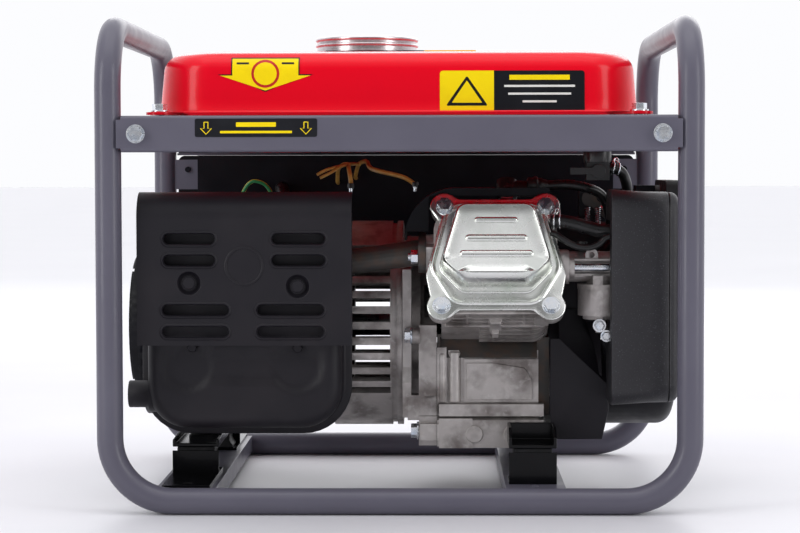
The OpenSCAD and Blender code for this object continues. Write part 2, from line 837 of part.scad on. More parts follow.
module flywheel_fan() {
    color([0.5, 0.5, 0.52]) translate([0, 0, crank_z]) difference() {
        union() {
            xcyl(122, 130, 62);
            xcyl(119, 150, 24);
            for (a = [0 : 18 : 342]) rotate([a, 0, 0]) box([129, -1.5, 22], [150, 1.5, 62]);
            xcyl(149, 157, 26);
        }
        xcyl(110, 165, 10.02);
        xcyl(110, 126, 20);
        xcyl(151.5, 158, 23);
    }
}

shroud_outline = [
    [-98, 48], [-98, 100], [-76, 140], [-72, 200], [-64, 224], [30, 222], [72, 196], [90, 160], [90, 108],
    [72, 68], [44, 50], [24, 48]
];

module fan_shroud() {
    color(black_paint) difference() {
        union() {
            along_x(shroud_x[0], shroud_x[1]) polygon(shroud_outline);
            box([143, -60, 220], [158, -46, governor_pivot[1] + 7]);
        }
        along_x(shroud_x[0] - 1, shroud_x[1] - 1.6) polygon([
            for (p = shroud_outline) [p[0] * 0.982, crank_z + (p[1] - crank_z) * 0.982]]);
        translate([0, 0, crank_z]) xcyl(150, 165, 66);
        box([110, -120, 40], [121.5, -92, 66]);
        translate([governor_pivot[0], 0, governor_pivot[1]]) ycyl(-70, -40, 3.05);
        box([146, -57, 200], [155, -49, 230]);
    }
}

// A folded plate that leads the fan's air over the head
module cylinder_cowl() {
    r = 40;
    t = 1.6;
    bottom = 206;
    color(black_paint) difference() {
        along_y(-104, -24) polygon(concat(
            [[3, bottom]], arc([3 + r, 247 - r], r, 180, 90, 12), [[117, 247], [117, bottom]]));
        along_y(-101.4, 0) polygon(concat(
            [[3 + t, bottom - 1]], arc([3 + r, 247 - r], r - t, 180, 90, 12),
            [[118, 247 - t], [118, bottom - 1]]));
        box([22, -105, bottom - 1], [118, -100, 241]);
        box([0, -105, bottom - 1], [23, -100, 213]);
        box([72, -100, 240], [118, -60, 250]);
    }
}

// ---------------------------------------------------------------- recoil starter

module recoil_housing() {
    wall = 2;
    x1 = recoil_x[1] - 12;
    color(black_paint) difference() {
        union() {
            translate([0, 0, crank_z]) {
                xcyl(recoil_x[0], x1, recoil_r);
                translate([x1, 0, 0]) rotate([0, 90, 0]) rotate_extrude() polygon(concat(
                    [[0, -1], [recoil_r, -1]], arc([recoil_r - 12, 0], 12, 0, 90, 8), [[0, 12]]));
            }
            box([196, rope_y - 13, 190], [212, rope_y + 13, rope_z + 7]);
        }
        translate([0, 0, crank_z]) {
            xcyl(recoil_x[0] - 1, recoil_x[1] - 14, recoil_r - wall);
            xcyl(recoil_x[0] - 1, recoil_x[1] - wall, recoil_r - 14);
            for (a = [15 : 15 : 345]) rotate([a, 0, 0]) {
                box([recoil_x[1] - 8, -3.5, 28], [recoil_x[1] + 5, 3.5, 62]);
                if (a < 345 && a > 195) box([170, -5, 70], [200, 5, 90]);
            }
        }
        box([198, rope_y - 11, 180], [210, rope_y + 11, rope_z + 5]);
        translate([0, rope_y, rope_z]) xcyl(205, 215, 2.6);
        translate([169, -62, 0]) zcyl(180, 205, 4.5);
    }
    color(black_paint) translate([0, 0, crank_z]) {
        xcyl(recoil_x[0] + 12, recoil_x[1] - 1, 8);
        xcyl(recoil_x[1] - 3, recoil_x[1] - 1, 20);
    }
}

module recoil_pulley() {
    color([0.15, 0.15, 0.16]) translate([0, 0, crank_z]) difference() {
        union() {
            xcyl(196, 199, 56);
            xcyl(198, 208, 46);
            xcyl(207, 210, 56);
        }
        xcyl(190, 215, 8.05);
        for (a = [0 : 60 : 300]) rotate([a, 0, 0]) translate([0, 0, 28]) xcyl(190, 215, 8);
    }
}

// A T-grip that rests against the rope guide, with the rope's knot end on its inner side
module recoil_handle() {
    color([0.12, 0.12, 0.13]) translate([217, rope_y, rope_z - 1]) {
        hull() for (y = [-40, 40], z = [-9, 7]) translate([0, y, z]) xcyl(0.5, 12, 5.5, $fn = 32);
        translate([0, 0, 1]) xcyl(-4.7, 1, 7);
    }
    color([0.12, 0.12, 0.13]) translate([0, rope_y, rope_z]) xcyl(200, 213, 2.3);
}

// ---------------------------------------------------------------- carburettor and air cleaner

module carburetor() {
    translate([0, port_in[0], port_in[1]]) {
        color(black_paint) difference() {
            translate([125.1, 0, 0]) rotate([90, 0, 90]) linear_extrude(6) round_rect(40, 26, 8);
            xcyl(118, 135, 9);
            for (sy = [-1, 1]) translate([0, sy * 16, 0]) xcyl(118, 135, 3.1);
        }
        color(cast_grey) difference() {
            union() {
                for (x = [131.2, 181.5]) translate([x, 0, 0])
                    rotate([90, 0, 90]) linear_extrude(4) round_rect(40, 16, 6);
                xcyl(131.2, 185.5, 12);
                for (z = [-6.5, 5]) box([135, -14, z], [182, 14, z + 1.5]);
                translate([149 - carb_x, 0, 0]) translate([carb_x, -12, 9.5]) ycyl(0, 3, 5);
                translate([149 - carb_x, 0, 0]) box([carb_x - 5, -12, 5], [carb_x + 5, -9, 9.5]);
                translate([carb_x, 0, 0]) {
                    zcyl(-17, -6, 12);
                    zcyl(-17.5, -13.5, bowl_r + 0.4);
                    zcyl(-38, -17, bowl_r);
                    zcyl(-41, -37, bowl_r - 4);
                    zcyl(-45, -40, 5);
                    box([-8.5, -bowl_r - 1, -14], [-1, -bowl_r + 3, -6.5]);
                    box([-6, -bowl_r + 1, -48], [-1, -bowl_r + 9, -36]);
                    translate([0, 0, -12]) ycyl(8, 24, 2.8);
                    translate([0, 24, 0]) zcyl(-15.2, -4, 3.4);
                }
            }
            xcyl(130, 190, 9);
            for (sy = [-1, 1]) translate([0, sy * 16, 0]) xcyl(130, 190, 3.1);
            translate([149, 0, 9.5]) ycyl(-15, -5, 2.2);
            translate([carb_x - 17, 0, 0]) zcyl(5, 15, 2.05);
        }
        color(zinc) translate([carb_x, 0, 0]) {
            translate([0, 0, -52]) cylinder(r = 5, h = 7.5, $fn = 6);
            translate([-3.5, -bowl_r - 3, -45]) rotate([-90, 0, 0]) cylinder(r = 3.6, h = 4.5, $fn = 6);
            translate([-5, -bowl_r - 2.5, -11]) ycyl(0, 2, 2.2);
        }
    }
}

// Turns on an upright spindle in the carburettor's throat
module choke_lever() {
    color([0.1, 0.1, 0.1]) translate([carb_x - 17, port_in[0], port_in[1]]) {
        zcyl(8.6, 15, 1.98);
        zcyl(14.4, 17, 5);
        box([-3, -17, 15], [3, 2, 17]);
        translate([0, -17, 0]) zcyl(15, 20, 4);
    }
}

// A sheet arm on its shaft, which pulls the throttle
module governor_lever() {
    color(zinc) translate([governor_pivot[0], 0, governor_pivot[1]]) {
        ycyl(-64, -44, 2.98);
        translate([0, -64, 0]) ycyl(0, 2, 6);
        rotate([0, 42, 0]) difference() {
            box([-2, -64, -3.5], [26, -62, 3.5]);
            for (x = [13, 18, 23]) translate([x, 0, 0]) ycyl(-70, -60, 1.4);
        }
    }
}

// The air cleaner's outer form: an outline in (y, z) with a domed right-hand face
module air_form(inset) {
    y = (air_y[0] + air_y[1]) / 2;
    z = (air_z[0] + air_z[1]) / 2;
    w = air_y[1] - air_y[0] - 2 * inset;
    h = air_z[1] - air_z[0] - 2 * inset;
    r = 14 - inset;
    edge = 7;
    translate([0, y, z]) hull() {
        translate([air_x[0] + inset, 0, 0])
            rotate([90, 0, 90]) linear_extrude(1) round_rect(w, h, r, $fn = 32);
        translate([air_x[2] - inset - 22, 0, 0]) rotate([90, 0, 90]) linear_extrude(1)
            round_rect(w - 1, h - 5, r, $fn = 32);
        for (sy = [-1, 1], sz = [-1, 1])
            translate([air_x[2] - inset - edge, sy * (w / 2 - r - 3), sz * (h / 2 - r - 4)])
            rotate([0, 90, 0]) rotate_extrude($fn = 32) translate([r + 2 - edge, 0]) circle(edge, $fn = 32);
    }
}

module air_slice(x0, x1, inset) {
    intersection() {
        air_form(inset);
        box([x0, -200, 0], [x1, 0, 300]);
    }
}

module air_cleaner_base() {
    color([0.08, 0.08, 0.09]) difference() {
        air_slice(air_x[0], air_lid_x, 0);
        air_slice(air_x[1] - 3, air_lid_x + 1, 2);
        box([air_x[0] - 1, carb_pocket_y, 126], [air_x[1] + 1, -80, 222]);
    }
    color([0.08, 0.08, 0.09]) difference() {
        box([air_x[1] - 0.4, air_y[0] + 5, air_z[0] + 12], [air_x[1] + 2, air_y[1] - 5, air_z[1] - 12]);
        translate([0, port_in[0], port_in[1]]) xcyl(180, 195, 9);
        for (sy = [-1, 1]) translate([0, port_in[0] + sy * 16, port_in[1]]) xcyl(180, 195, 3.1);
    }
    color(zinc) translate([0, -116, 128]) xcyl(air_x[1] + 1.5, 214, 2.5);
}

module air_filter_element() {
    color([0.85, 0.75, 0.35]) difference() {
        box([air_x[1] + 4, -136, 96], [204, -98, 228]);
        translate([0, -116, 128]) xcyl(160, 220, 3);
    }
}

module air_cleaner_cover() {
    color([0.08, 0.08, 0.09]) difference() {
        air_slice(air_lid_x + 0.3, 300, 0);
        air_slice(air_lid_x - 1, 300, 2);
        translate([0, -116, 128]) xcyl(200, 220, 3);
    }
}

module air_cleaner_knob() {
    color([0.05, 0.05, 0.05]) translate([0, -116, 128]) difference() {
        union() {
            xcyl(air_x[2] + 0.1, air_x[2] + 5, 10);
            box([air_x[2] + 1, -2.5, -14], [air_x[2] + 9, 2.5, 14]);
        }
        xcyl(200, air_x[2] + 3, 2.55);
    }
}

breather_route = [
    [117.2, -124, 221], [124, -125, 221.4], [134, -126, 219.6], [145, -127, 216.5], [154, -128, 214.3],
    [162.3, -128, 214]
];
vent_route = [
    [117, -131, 212.5], [121, -133, 211], [126, -135, 207.5], [132, -136, 204], [139, -137, 201.6],
    [147, -138, 201.6], [154, -138, 204.5], [158, -138, 208.4], [161.6, -138, 209.8]
];

// The crankcase breather and, hanging below it, the thin vent line
module breather_hose() {
    color(rubber) {
        sweep(spline(breather_route, 4), 5.4, [0.1, 0.95, 0.2], 10);
        sweep(spline(vent_route, 3), 2.5, [0.1, 0.95, 0.2]);
    }
}

// ---------------------------------------------------------------- exhaust

module exhaust_pipe() {
    start = [16, port_out[0], port_out[1]];
    end = [-48, -108, 188];
    along = end - start;
    len = norm(along);
    aim = [0, acos(along[2] / len), atan2(along[1], along[0])];
    color([0.2, 0.2, 0.2]) difference() {
        union() {
            translate(start) rotate(aim) cylinder(r = 10, h = len);
            at_exhaust() translate([14, 0, 0]) rotate([90, 0, 90]) linear_extrude(5.8) round_rect(48, 26, 9);
        }
        translate(start - along * 0.08) rotate(aim) cylinder(r = 8.4, h = len * 1.16);
        at_exhaust() for (sy = [-1, 1]) translate([0, sy * exhaust_stud, 0]) xcyl(10, 25, 3.2);
        box([-70, -140, 150], [muffler_x + muffler_w / 2 - 6.9, -80, 220]);
    }
}

module muffler_form(inset, y0, y1, edge) {
    w = muffler_w / 2 - inset;
    h = muffler_h / 2 - inset;
    r = 38 - inset;
    translate([muffler_x, 0, muffler_z]) hull() for (sx = [-1, 1], sz = [-1, 1]) {
        translate([sx * (w - r), rim_y, sz * (h - r)])
            rotate([90, 0, 0]) cylinder(r = r, h = 1, $fn = 40, center = true);
        for (y = [y0 + edge, y1 - edge]) translate([sx * (w - r), y, sz * (h - r)]) rotate([90, 0, 0])
            rotate_extrude($fn = 40) translate([r - edge, 0]) circle(edge, $fn = 24);
    }
}

module muffler() {
    outlet = [outlet_end + 24.5, -134, 88];
    color([0.1, 0.09, 0.1]) {
        difference() {
            union() {
                muffler_form(7, muffler_front, muffler_back, 10);
                translate([muffler_x, 0, muffler_z]) along_y(rim_y - 1.5, rim_y + 1.5)
                    round_rect(muffler_w, muffler_h, 38);
                for (p = [[-164, 112], [-79, 112]]) translate([p[0], 0, p[1]])
                    ycyl(muffler_front - 2.5, muffler_front + 5, 22);
                for (p = shield_screws) translate([p[0], 0, p[1]])
                    ycyl(shield_y + 4.8, muffler_front + 5, 6);
                box([-168, muffler_back - 2, 122], [-128, -alt_r - 0.3, 146]);
            }
            muffler_form(8.5, muffler_front + 1.5, muffler_back - 1.5, 9);
            translate([0, outlet[1], outlet[2]]) xcyl(outlet_end, outlet[0], 10);
            translate([0, -108, 188]) xcyl(-55, -40, 8.4);
            for (p = shield_screws) translate([p[0], 0, p[1]]) ycyl(shield_y, muffler_front - 1, 2.6);
        }
        translate([0, outlet[1], outlet[2]]) difference() {
            xcyl(outlet_end, outlet[0], 10.5);
            xcyl(outlet_end - 1, outlet[0] + 1, outlet_r);
        }
    }
}

module slot(x0, x1, z0, z1) {
    r = (z1 - z0) / 2;
    for (x = [x0 + r, x1 - r]) translate([x, 0, (z0 + z1) / 2]) ycyl(shield_y - 5, shield_y + 5, r);
    box([x0 + r, shield_y - 5, z0], [x1 - r, shield_y + 5, z1]);
}

// Rows of slots: left pair, right pair, bottom and top of each
shield_rows = [[-180.8, -139.3, -98.1, -55.4, 204, 214.5], [-180.8, -139.3, -98.1, -55.4, 187.5, 198],
    [-181.8, -129, -109.6, -56.3, 149.5, 160.5], [-181.8, -129, -109.6, -56.3, 132.8, 144]];

module heat_shield() {
    t = 1.2;
    r = 20;
    color([0.12, 0.11, 0.12]) {
        difference() {
            along_x(shield_x[0], shield_x[1]) polygon(concat(
                [[shield_y, shield_z[0]]], arc([shield_y + r, shield_z[1] - r], r, 180, 96, 10),
                arc([shield_y + r, shield_z[1] - r], r - t, 96, 180, 10), [[shield_y + t, shield_z[0]]]
            ));
            for (s = shield_rows) {
                slot(s[0], s[1], s[4], s[5]);
                slot(s[2], s[3], s[4], s[5]);
            }
            for (p = shield_screws) translate([p[0], 0, p[1]]) ycyl(shield_y - 5, shield_y + 5, 8.5);
        }
        for (p = shield_screws) translate([p[0], 0, p[1]]) difference() {
            ycyl(shield_y, shield_y + 4.7, 9.5);
            ycyl(shield_y - 1, shield_y + 3.5, 8.3);
            ycyl(shield_y - 1, shield_y + 6, 2.8);
        }
        for (x = [shield_x[0], shield_x[1] - t])
            box([x, shield_y, shield_z[0]], [x + t, shield_y + 12, shield_z[1] - r]);
    }
}

module heat_shield_screws() {
    color([0.25, 0.25, 0.25]) for (p = shield_screws) translate([p[0], shield_y + 3.4, p[1]])
        rotate([90, 0, 0]) {
        cylinder(r = 4.6, h = 3.2, $fn = 6);
        cylinder(r = 6, h = 0.9);
        translate([0, 0, -7]) cylinder(r = 2.5, h = 7.1);
    }
}

// ---------------------------------------------------------------- alternator

module alternator_housing() {
    color(cast_grey) translate([0, 0, crank_z]) difference() {
        union() {
            xcyl(housing_x0, side_x0 - 0.2, alt_r - 2);
            xcyl(housing_x0, -8, alt_r);
            xcyl(-4, side_x0 - 0.2, alt_r);
        }
        xcyl(housing_x0 - 1, -4, alt_r - 6);
        xcyl(-10, side_x0 + 1, alt_r - 16);
        for (side = [0, 180], k = [-4 : 6]) rotate([side, 0, 0])
            rotate([(side == 0 ? -1 : 1) * (k * slot_pitch - 2), 0, 0])
            box([housing_x0 + 4, -alt_r - 5, -3.3], [-9, -alt_r + 12, 3.3]);
    }
}

module alternator_stator() {
    r = alt_r - 5;
    translate([0, 0, crank_z]) {
        color([0.4, 0.4, 0.42]) difference() {
            xcyl(stator_x0, housing_x0 - 0.1, r);
            xcyl(stator_x0 - 1, housing_x0 + 1, 48);
        }
        color([0.6, 0.3, 0.12]) for (x = [stator_x0 - 14, housing_x0 + 0.1]) difference() {
            xcyl(x, x + 13.8, r - 8);
            xcyl(x - 1, x + 15, 52);
        }
    }
}

module alternator_rotor() {
    color([0.6, 0.3, 0.12]) translate([0, 0, crank_z]) difference() {
        union() {
            xcyl(stator_x0 + 3, -63, 46.5);
            xcyl(-150, stator_x0 + 3, 16);
        }
        xcyl(-200, -20, 7.55);
        for (a = [45, 225]) rotate([a, 0, 0]) box([stator_x0, -14, 32], [-60, 14, 50]);
    }
}

module alternator_end_cover() {
    color([0.45, 0.45, 0.48]) translate([0, 0, crank_z]) {
        difference() {
            union() {
                xcyl(bracket_x0 + 1, stator_x0 - 0.1, alt_r);
                translate([0, 0, -alt_r - 1]) box([bracket_x0 + 2, -34, -3], [-149, 34, 30]);
            }
            xcyl(bracket_x0 + 5, stator_x0 + 1, alt_r - 4);
            xcyl(-200, -100, 14);
            for (a = [30 : 30 : 330]) rotate([a, 0, 0]) box([-170, -8, 60], [-130, 8, 100]);
        }
        difference() {
            xcyl(bracket_x0 + 4, bracket_x0 + 19, 23);
            xcyl(bracket_x0 + 8, bracket_x0 + 30, 17.52);
            xcyl(-200, -100, 12);
        }
        difference() {
            union() {
                xcyl(bracket_x0 - 34, bracket_x0 + 0.9, 76);
                xcyl(end_x0 + 4, bracket_x0 - 33, 68);
                xcyl(end_x0, end_x0 + 5, 56);
            }
            xcyl(bracket_x0 - 32, bracket_x0 + 2, 73);
            xcyl(end_x0 + 6, bracket_x0 - 30, 65);
            for (z = [-44 : 11 : 44]) box([end_x0 - 5, -34, z - 2.5], [end_x0 + 8, 34, z + 2.5]);
            for (sy = [-1, 1], z = [-38.5 : 11 : 38.5]) mirror([0, sy < 0 ? 1 : 0, 0])
                box([bracket_x0 - 30, 60, z - 2.5], [bracket_x0 - 8, 90, z + 2.5]);
        }
    }
}

// ---------------------------------------------------------------- control panel and wiring

module control_panel() {
    color(black_paint) {
        difference() {
            along_y(panel_y - 2, panel_y)
                translate([0, (168 + panel_top) / 2]) round_rect(416, panel_top - 168, 6);
            for (sx = [-1, 1]) translate([sx * 199, 0, 262]) ycyl(160, 180, 2.7);
            for (x = [-70, 10]) translate([x, 0, 218]) ycyl(160, 180, 21.2);
            box([104.5, 160, 207.3], [125.5, 180, 238.7]);
            translate([60, 0, 218]) ycyl(160, 180, 5.2);
        }
        difference() {
            box([-186, 130, 170], [186, panel_y - 1.9, panel_top]);
            box([-184.5, 131.5, 171.5], [184.5, panel_y + 1, panel_top - 1.5]);
            for (x = [-150 : 12 : -102]) box([x, 120, 185], [x + 5, 140, 225]);
        }
        difference() {
            translate([-140, 0, 222]) ycyl(panel_y, panel_y + 4, 23);
            translate([-140, 0, 222]) ycyl(panel_y + 1.5, panel_y + 5, 20);
        }
        for (x = [150, 170]) translate([x, 0, 200]) ycyl(panel_y - 1, panel_y + 12, 6);
    }
    color(zinc) for (sx = [-1, 1]) translate([sx * 199, panel_y, 262]) rotate([-90, 0, 0]) {
        cylinder(r = 4.8, h = 3);
        translate([0, 0, -7]) cylinder(r = 2.5, h = 7.1);
    }
}

module panel_sockets() {
    color([0.15, 0.15, 0.16]) for (x = [-70, 10]) translate([x, 0, 218]) difference() {
        union() {
            ycyl(panel_y - 30, panel_y + 2, 21);
            ycyl(panel_y + 0.1, panel_y + 3, 24.5);
        }
        ycyl(panel_y - 12, panel_y + 5, 18);
    }
}

module breaker_button() {
    color([0.75, 0.08, 0.08]) translate([60, 0, 218]) {
        ycyl(panel_y - 6, panel_y + 7, 5);
        ycyl(panel_y - 8, panel_y - 6, 7);
    }
}

module engine_switch() {
    color([0.75, 0.08, 0.08]) translate([115, panel_y - 4, 223]) difference() {
        along_x(-10, 10) polygon([[-5, -14], [5.5, -14], [4.2, 0], [8.5, 14], [-3, 14]]);
        xcyl(-20, 20, 2);
    }
    color(zinc) translate([115, panel_y - 4, 223]) xcyl(-10, 10, 1.95);
}

brown_routes = [
    [[-60, 129.6, 250], [-60, 120, 252], [-58, 95, 262], [-52, 60, 266], [-46, 20, 266], [-44, -30, 264],
        [-42, -52, 258], [-41, -56, 251], [-41, -57, 248]],
    [[-44, 129.6, 254], [-44, 118, 256], [-40, 90, 266], [-34, 50, 268.5], [-30, 10, 268], [-24, -30, 262],
        [0, -52, 256], [9, -56, 251], [11, -57, 249]]
];
earth_route = [[-150, 129.6, 205], [-150, 118, 206], [-148, 100, 218], [-142, 88, 240], [-134, 84, 251],
    [-124, 84, 250], [-118, 86, 244], [-116, 88, 238]];
harness_route = [[-110, 129.6, 245], [-110, 122, 245], [-108, 110, 243], [-106, 98, 238], [-104, 90, 230]];

module wiring() {
    color([0.5, 0.26, 0.08]) for (r = brown_routes) sweep(spline(r, 3), 1.8, [0.95, 0.1, 0.1]);
    color([0.5, 0.7, 0.1]) sweep(spline(earth_route, 3), 1.6, [0.1, 0.2, -0.95]);
    color(rubber) sweep(spline(harness_route, 3), 6, [0.95, 0.1, 0.1], 10);
}

// ---------------------------------------------------------------- one node at a time

frame_near_half();
frame_far_half();
cross_member_left();
cross_member_right();
tank_rail_near();
tank_rail_far();
rail_and_tank_bolts();
rubber_mounts();
mount_lower_brackets();
engine_mount_brackets();
alternator_mount_bracket();
tank_upper_shell();
filler_neck();
tank_lower_shell();
filler_strainer();
fuel_cap_core();
fuel_cap_shell();
fuel_tap();
fuel_tap_lever();
fuel_hose();
crankcase();
crankcase_side_cover();
cylinder_head();
valve_cover();
engine_bolts();
oil_dipstick();
spark_plug();
spark_plug_cap();
ignition_lead();
crankshaft();
main_bearings();
connecting_rod();
piston();
flywheel_fan();
fan_shroud();
cylinder_cowl();
recoil_housing();
recoil_pulley();
recoil_handle();
carburetor();
choke_lever();
governor_lever();
air_cleaner_base();
air_filter_element();
air_cleaner_cover();
air_cleaner_knob();
breather_hose();
exhaust_pipe();
muffler();
heat_shield();
heat_shield_screws();
alternator_housing();
alternator_stator();
alternator_rotor();
alternator_end_cover();
control_panel();
panel_sockets();
breaker_button();
engine_switch();
wiring();
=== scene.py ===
import math

import bmesh
import bpy
from mathutils import Matrix, Vector


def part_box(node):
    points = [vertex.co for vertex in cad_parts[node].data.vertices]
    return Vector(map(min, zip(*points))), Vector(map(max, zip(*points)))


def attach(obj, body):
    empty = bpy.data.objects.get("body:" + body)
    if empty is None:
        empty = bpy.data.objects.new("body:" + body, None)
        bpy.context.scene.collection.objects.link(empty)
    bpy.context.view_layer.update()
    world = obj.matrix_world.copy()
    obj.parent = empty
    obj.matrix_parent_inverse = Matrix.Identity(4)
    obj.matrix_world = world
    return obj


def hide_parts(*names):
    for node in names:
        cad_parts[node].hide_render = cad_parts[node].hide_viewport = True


# The looks of a portable generator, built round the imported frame. Lengths below are millimetres,
# in the frame's own axes (X along the crankshaft, -Y the muffler side, Z up), unless a name says otherwise.
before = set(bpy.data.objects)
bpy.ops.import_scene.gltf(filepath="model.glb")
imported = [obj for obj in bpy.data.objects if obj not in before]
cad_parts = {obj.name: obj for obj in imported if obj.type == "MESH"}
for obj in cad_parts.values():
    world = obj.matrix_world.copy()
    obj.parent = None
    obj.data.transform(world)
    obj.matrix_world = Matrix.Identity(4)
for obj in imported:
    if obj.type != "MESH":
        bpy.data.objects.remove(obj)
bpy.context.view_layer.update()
MM = 0.001


def node_box(node):
    """Lowest and highest corner of a CAD node, in millimetres."""
    lo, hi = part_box(node)
    return lo / MM, hi / MM


# ---------------- camera, floor and light

LENS = 96.6
CAMERA_AT = (28.9, -1792.7, 262.1)
YAW, PITCH, ROLL = math.radians(-1.0), math.radians(2.6), math.radians(-0.11)


def make_camera():
    forward = Vector((math.sin(YAW) * math.cos(PITCH), math.cos(YAW) * math.cos(PITCH), -math.sin(PITCH)))
    level = Vector((math.cos(YAW), -math.sin(YAW), 0))
    up = level.cross(forward)
    right = level * math.cos(ROLL) + up * math.sin(ROLL)
    up = right.cross(forward)
    data = bpy.data.cameras.new("camera")
    data.lens = LENS
    data.sensor_width = 36
    data.clip_start, data.clip_end = 0.05, 50
    camera = bpy.data.objects.new("camera", data)
    axes = Matrix((right, up, -forward)).transposed().to_4x4()
    camera.matrix_world = Matrix.Translation(Vector(CAMERA_AT) * MM) @ axes
    bpy.context.scene.collection.objects.link(camera)
    bpy.context.scene.camera = camera


def soft_box(name, at, aim, size, watts, colour=(1, 1, 1)):
    """A rectangular studio lamp at a place in metres, turned towards another."""
    data = bpy.data.lights.new(name, "AREA")
    data.shape = "RECTANGLE"
    data.size, data.size_y = size
    data.energy = watts
    data.color = colour
    lamp = bpy.data.objects.new(name, data)
    lamp.location = at
    lamp.rotation_mode = "QUATERNION"
    lamp.rotation_quaternion = (Vector(aim) - Vector(at)).to_track_quat("-Z", "Y")
    bpy.context.scene.collection.objects.link(lamp)


def make_studio():
    """A white room: bright behind and above, dim in front, with a tall lamp to each side."""
    bpy.context.scene.view_settings.view_transform = "Standard"
    world = bpy.data.worlds.new("studio")
    bpy.context.scene.world = world
    world.use_nodes = True
    nodes, links = world.node_tree.nodes, world.node_tree.links
    nodes.clear()
    out = nodes.new("ShaderNodeOutputWorld")
    seen, lit, mix = (nodes.new(t) for t in ("ShaderNodeBackground", "ShaderNodeBackground",
                                             "ShaderNodeMixShader"))
    path = nodes.new("ShaderNodeLightPath")
    seen.inputs[0].default_value = (0.975, 0.98, 1, 1)
    seen.inputs[1].default_value = WORLD_SEEN
    lit.inputs[0].default_value = (0.965, 0.965, 1, 1)
    direction = nodes.new("ShaderNodeSeparateXYZ")
    links.new(nodes.new("ShaderNodeTexCoord").outputs["Generated"], direction.inputs[0])
    brighter = nodes.new("ShaderNodeMath")
    brighter.operation = "MAXIMUM"
    for k, (axis, low, high, bright) in enumerate((("Y", -0.2, 0.5, WORLD_BACK),
                                                   ("Z", 0.4, 0.8, WORLD_TOP))):
        ramp = nodes.new("ShaderNodeMapRange")
        for socket, number in zip(("From Min", "From Max", "To Min", "To Max"),
                                  (low, high, WORLD_FRONT, bright)):
            ramp.inputs[socket].default_value = number
        links.new(direction.outputs[axis], ramp.inputs["Value"])
        links.new(ramp.outputs[0], brighter.inputs[k])
    links.new(brighter.outputs[0], lit.inputs[1])
    links.new(path.outputs["Is Camera Ray"], mix.inputs[0])
    links.new(lit.outputs[0], mix.inputs[1])
    links.new(seen.outputs[0], mix.inputs[2])
    links.new(mix.outputs[0], out.inputs[0])

    soft_box("top_box", (0, -0.3, 2.2), (0, 0, 0.2), (2.2, 1.6), 12)
    soft_box("left_box", (-1.9, -1.5, 0.9), (0, 0, 0.2), (0.7, 1.8), 20)
    soft_box("right_box", (2.0, -1.4, 0.9), (0, 0, 0.2), (0.7, 1.8), 17)
    soft_box("rear_box", (0.3, 2.4, 1.5), (0, 0, 0.2), (2.4, 1.2), 16)

    floor = bpy.data.meshes.new("floor")
    half = 30
    corners = [(-half, -half, 0), (half, -half, 0), (half, half, 0), (-half, half, 0)]
    floor.from_pydata(corners, [], [(0, 1, 2, 3)])
    floor.materials.append(FINISH["floor"])
    stage = bpy.data.objects.new("floor", floor)
    bpy.context.scene.collection.objects.link(stage)


WORLD_SEEN = 1.0
WORLD_BACK = 1.25
WORLD_TOP = 1.02
WORLD_FRONT = 0.22


# ---------------- materials

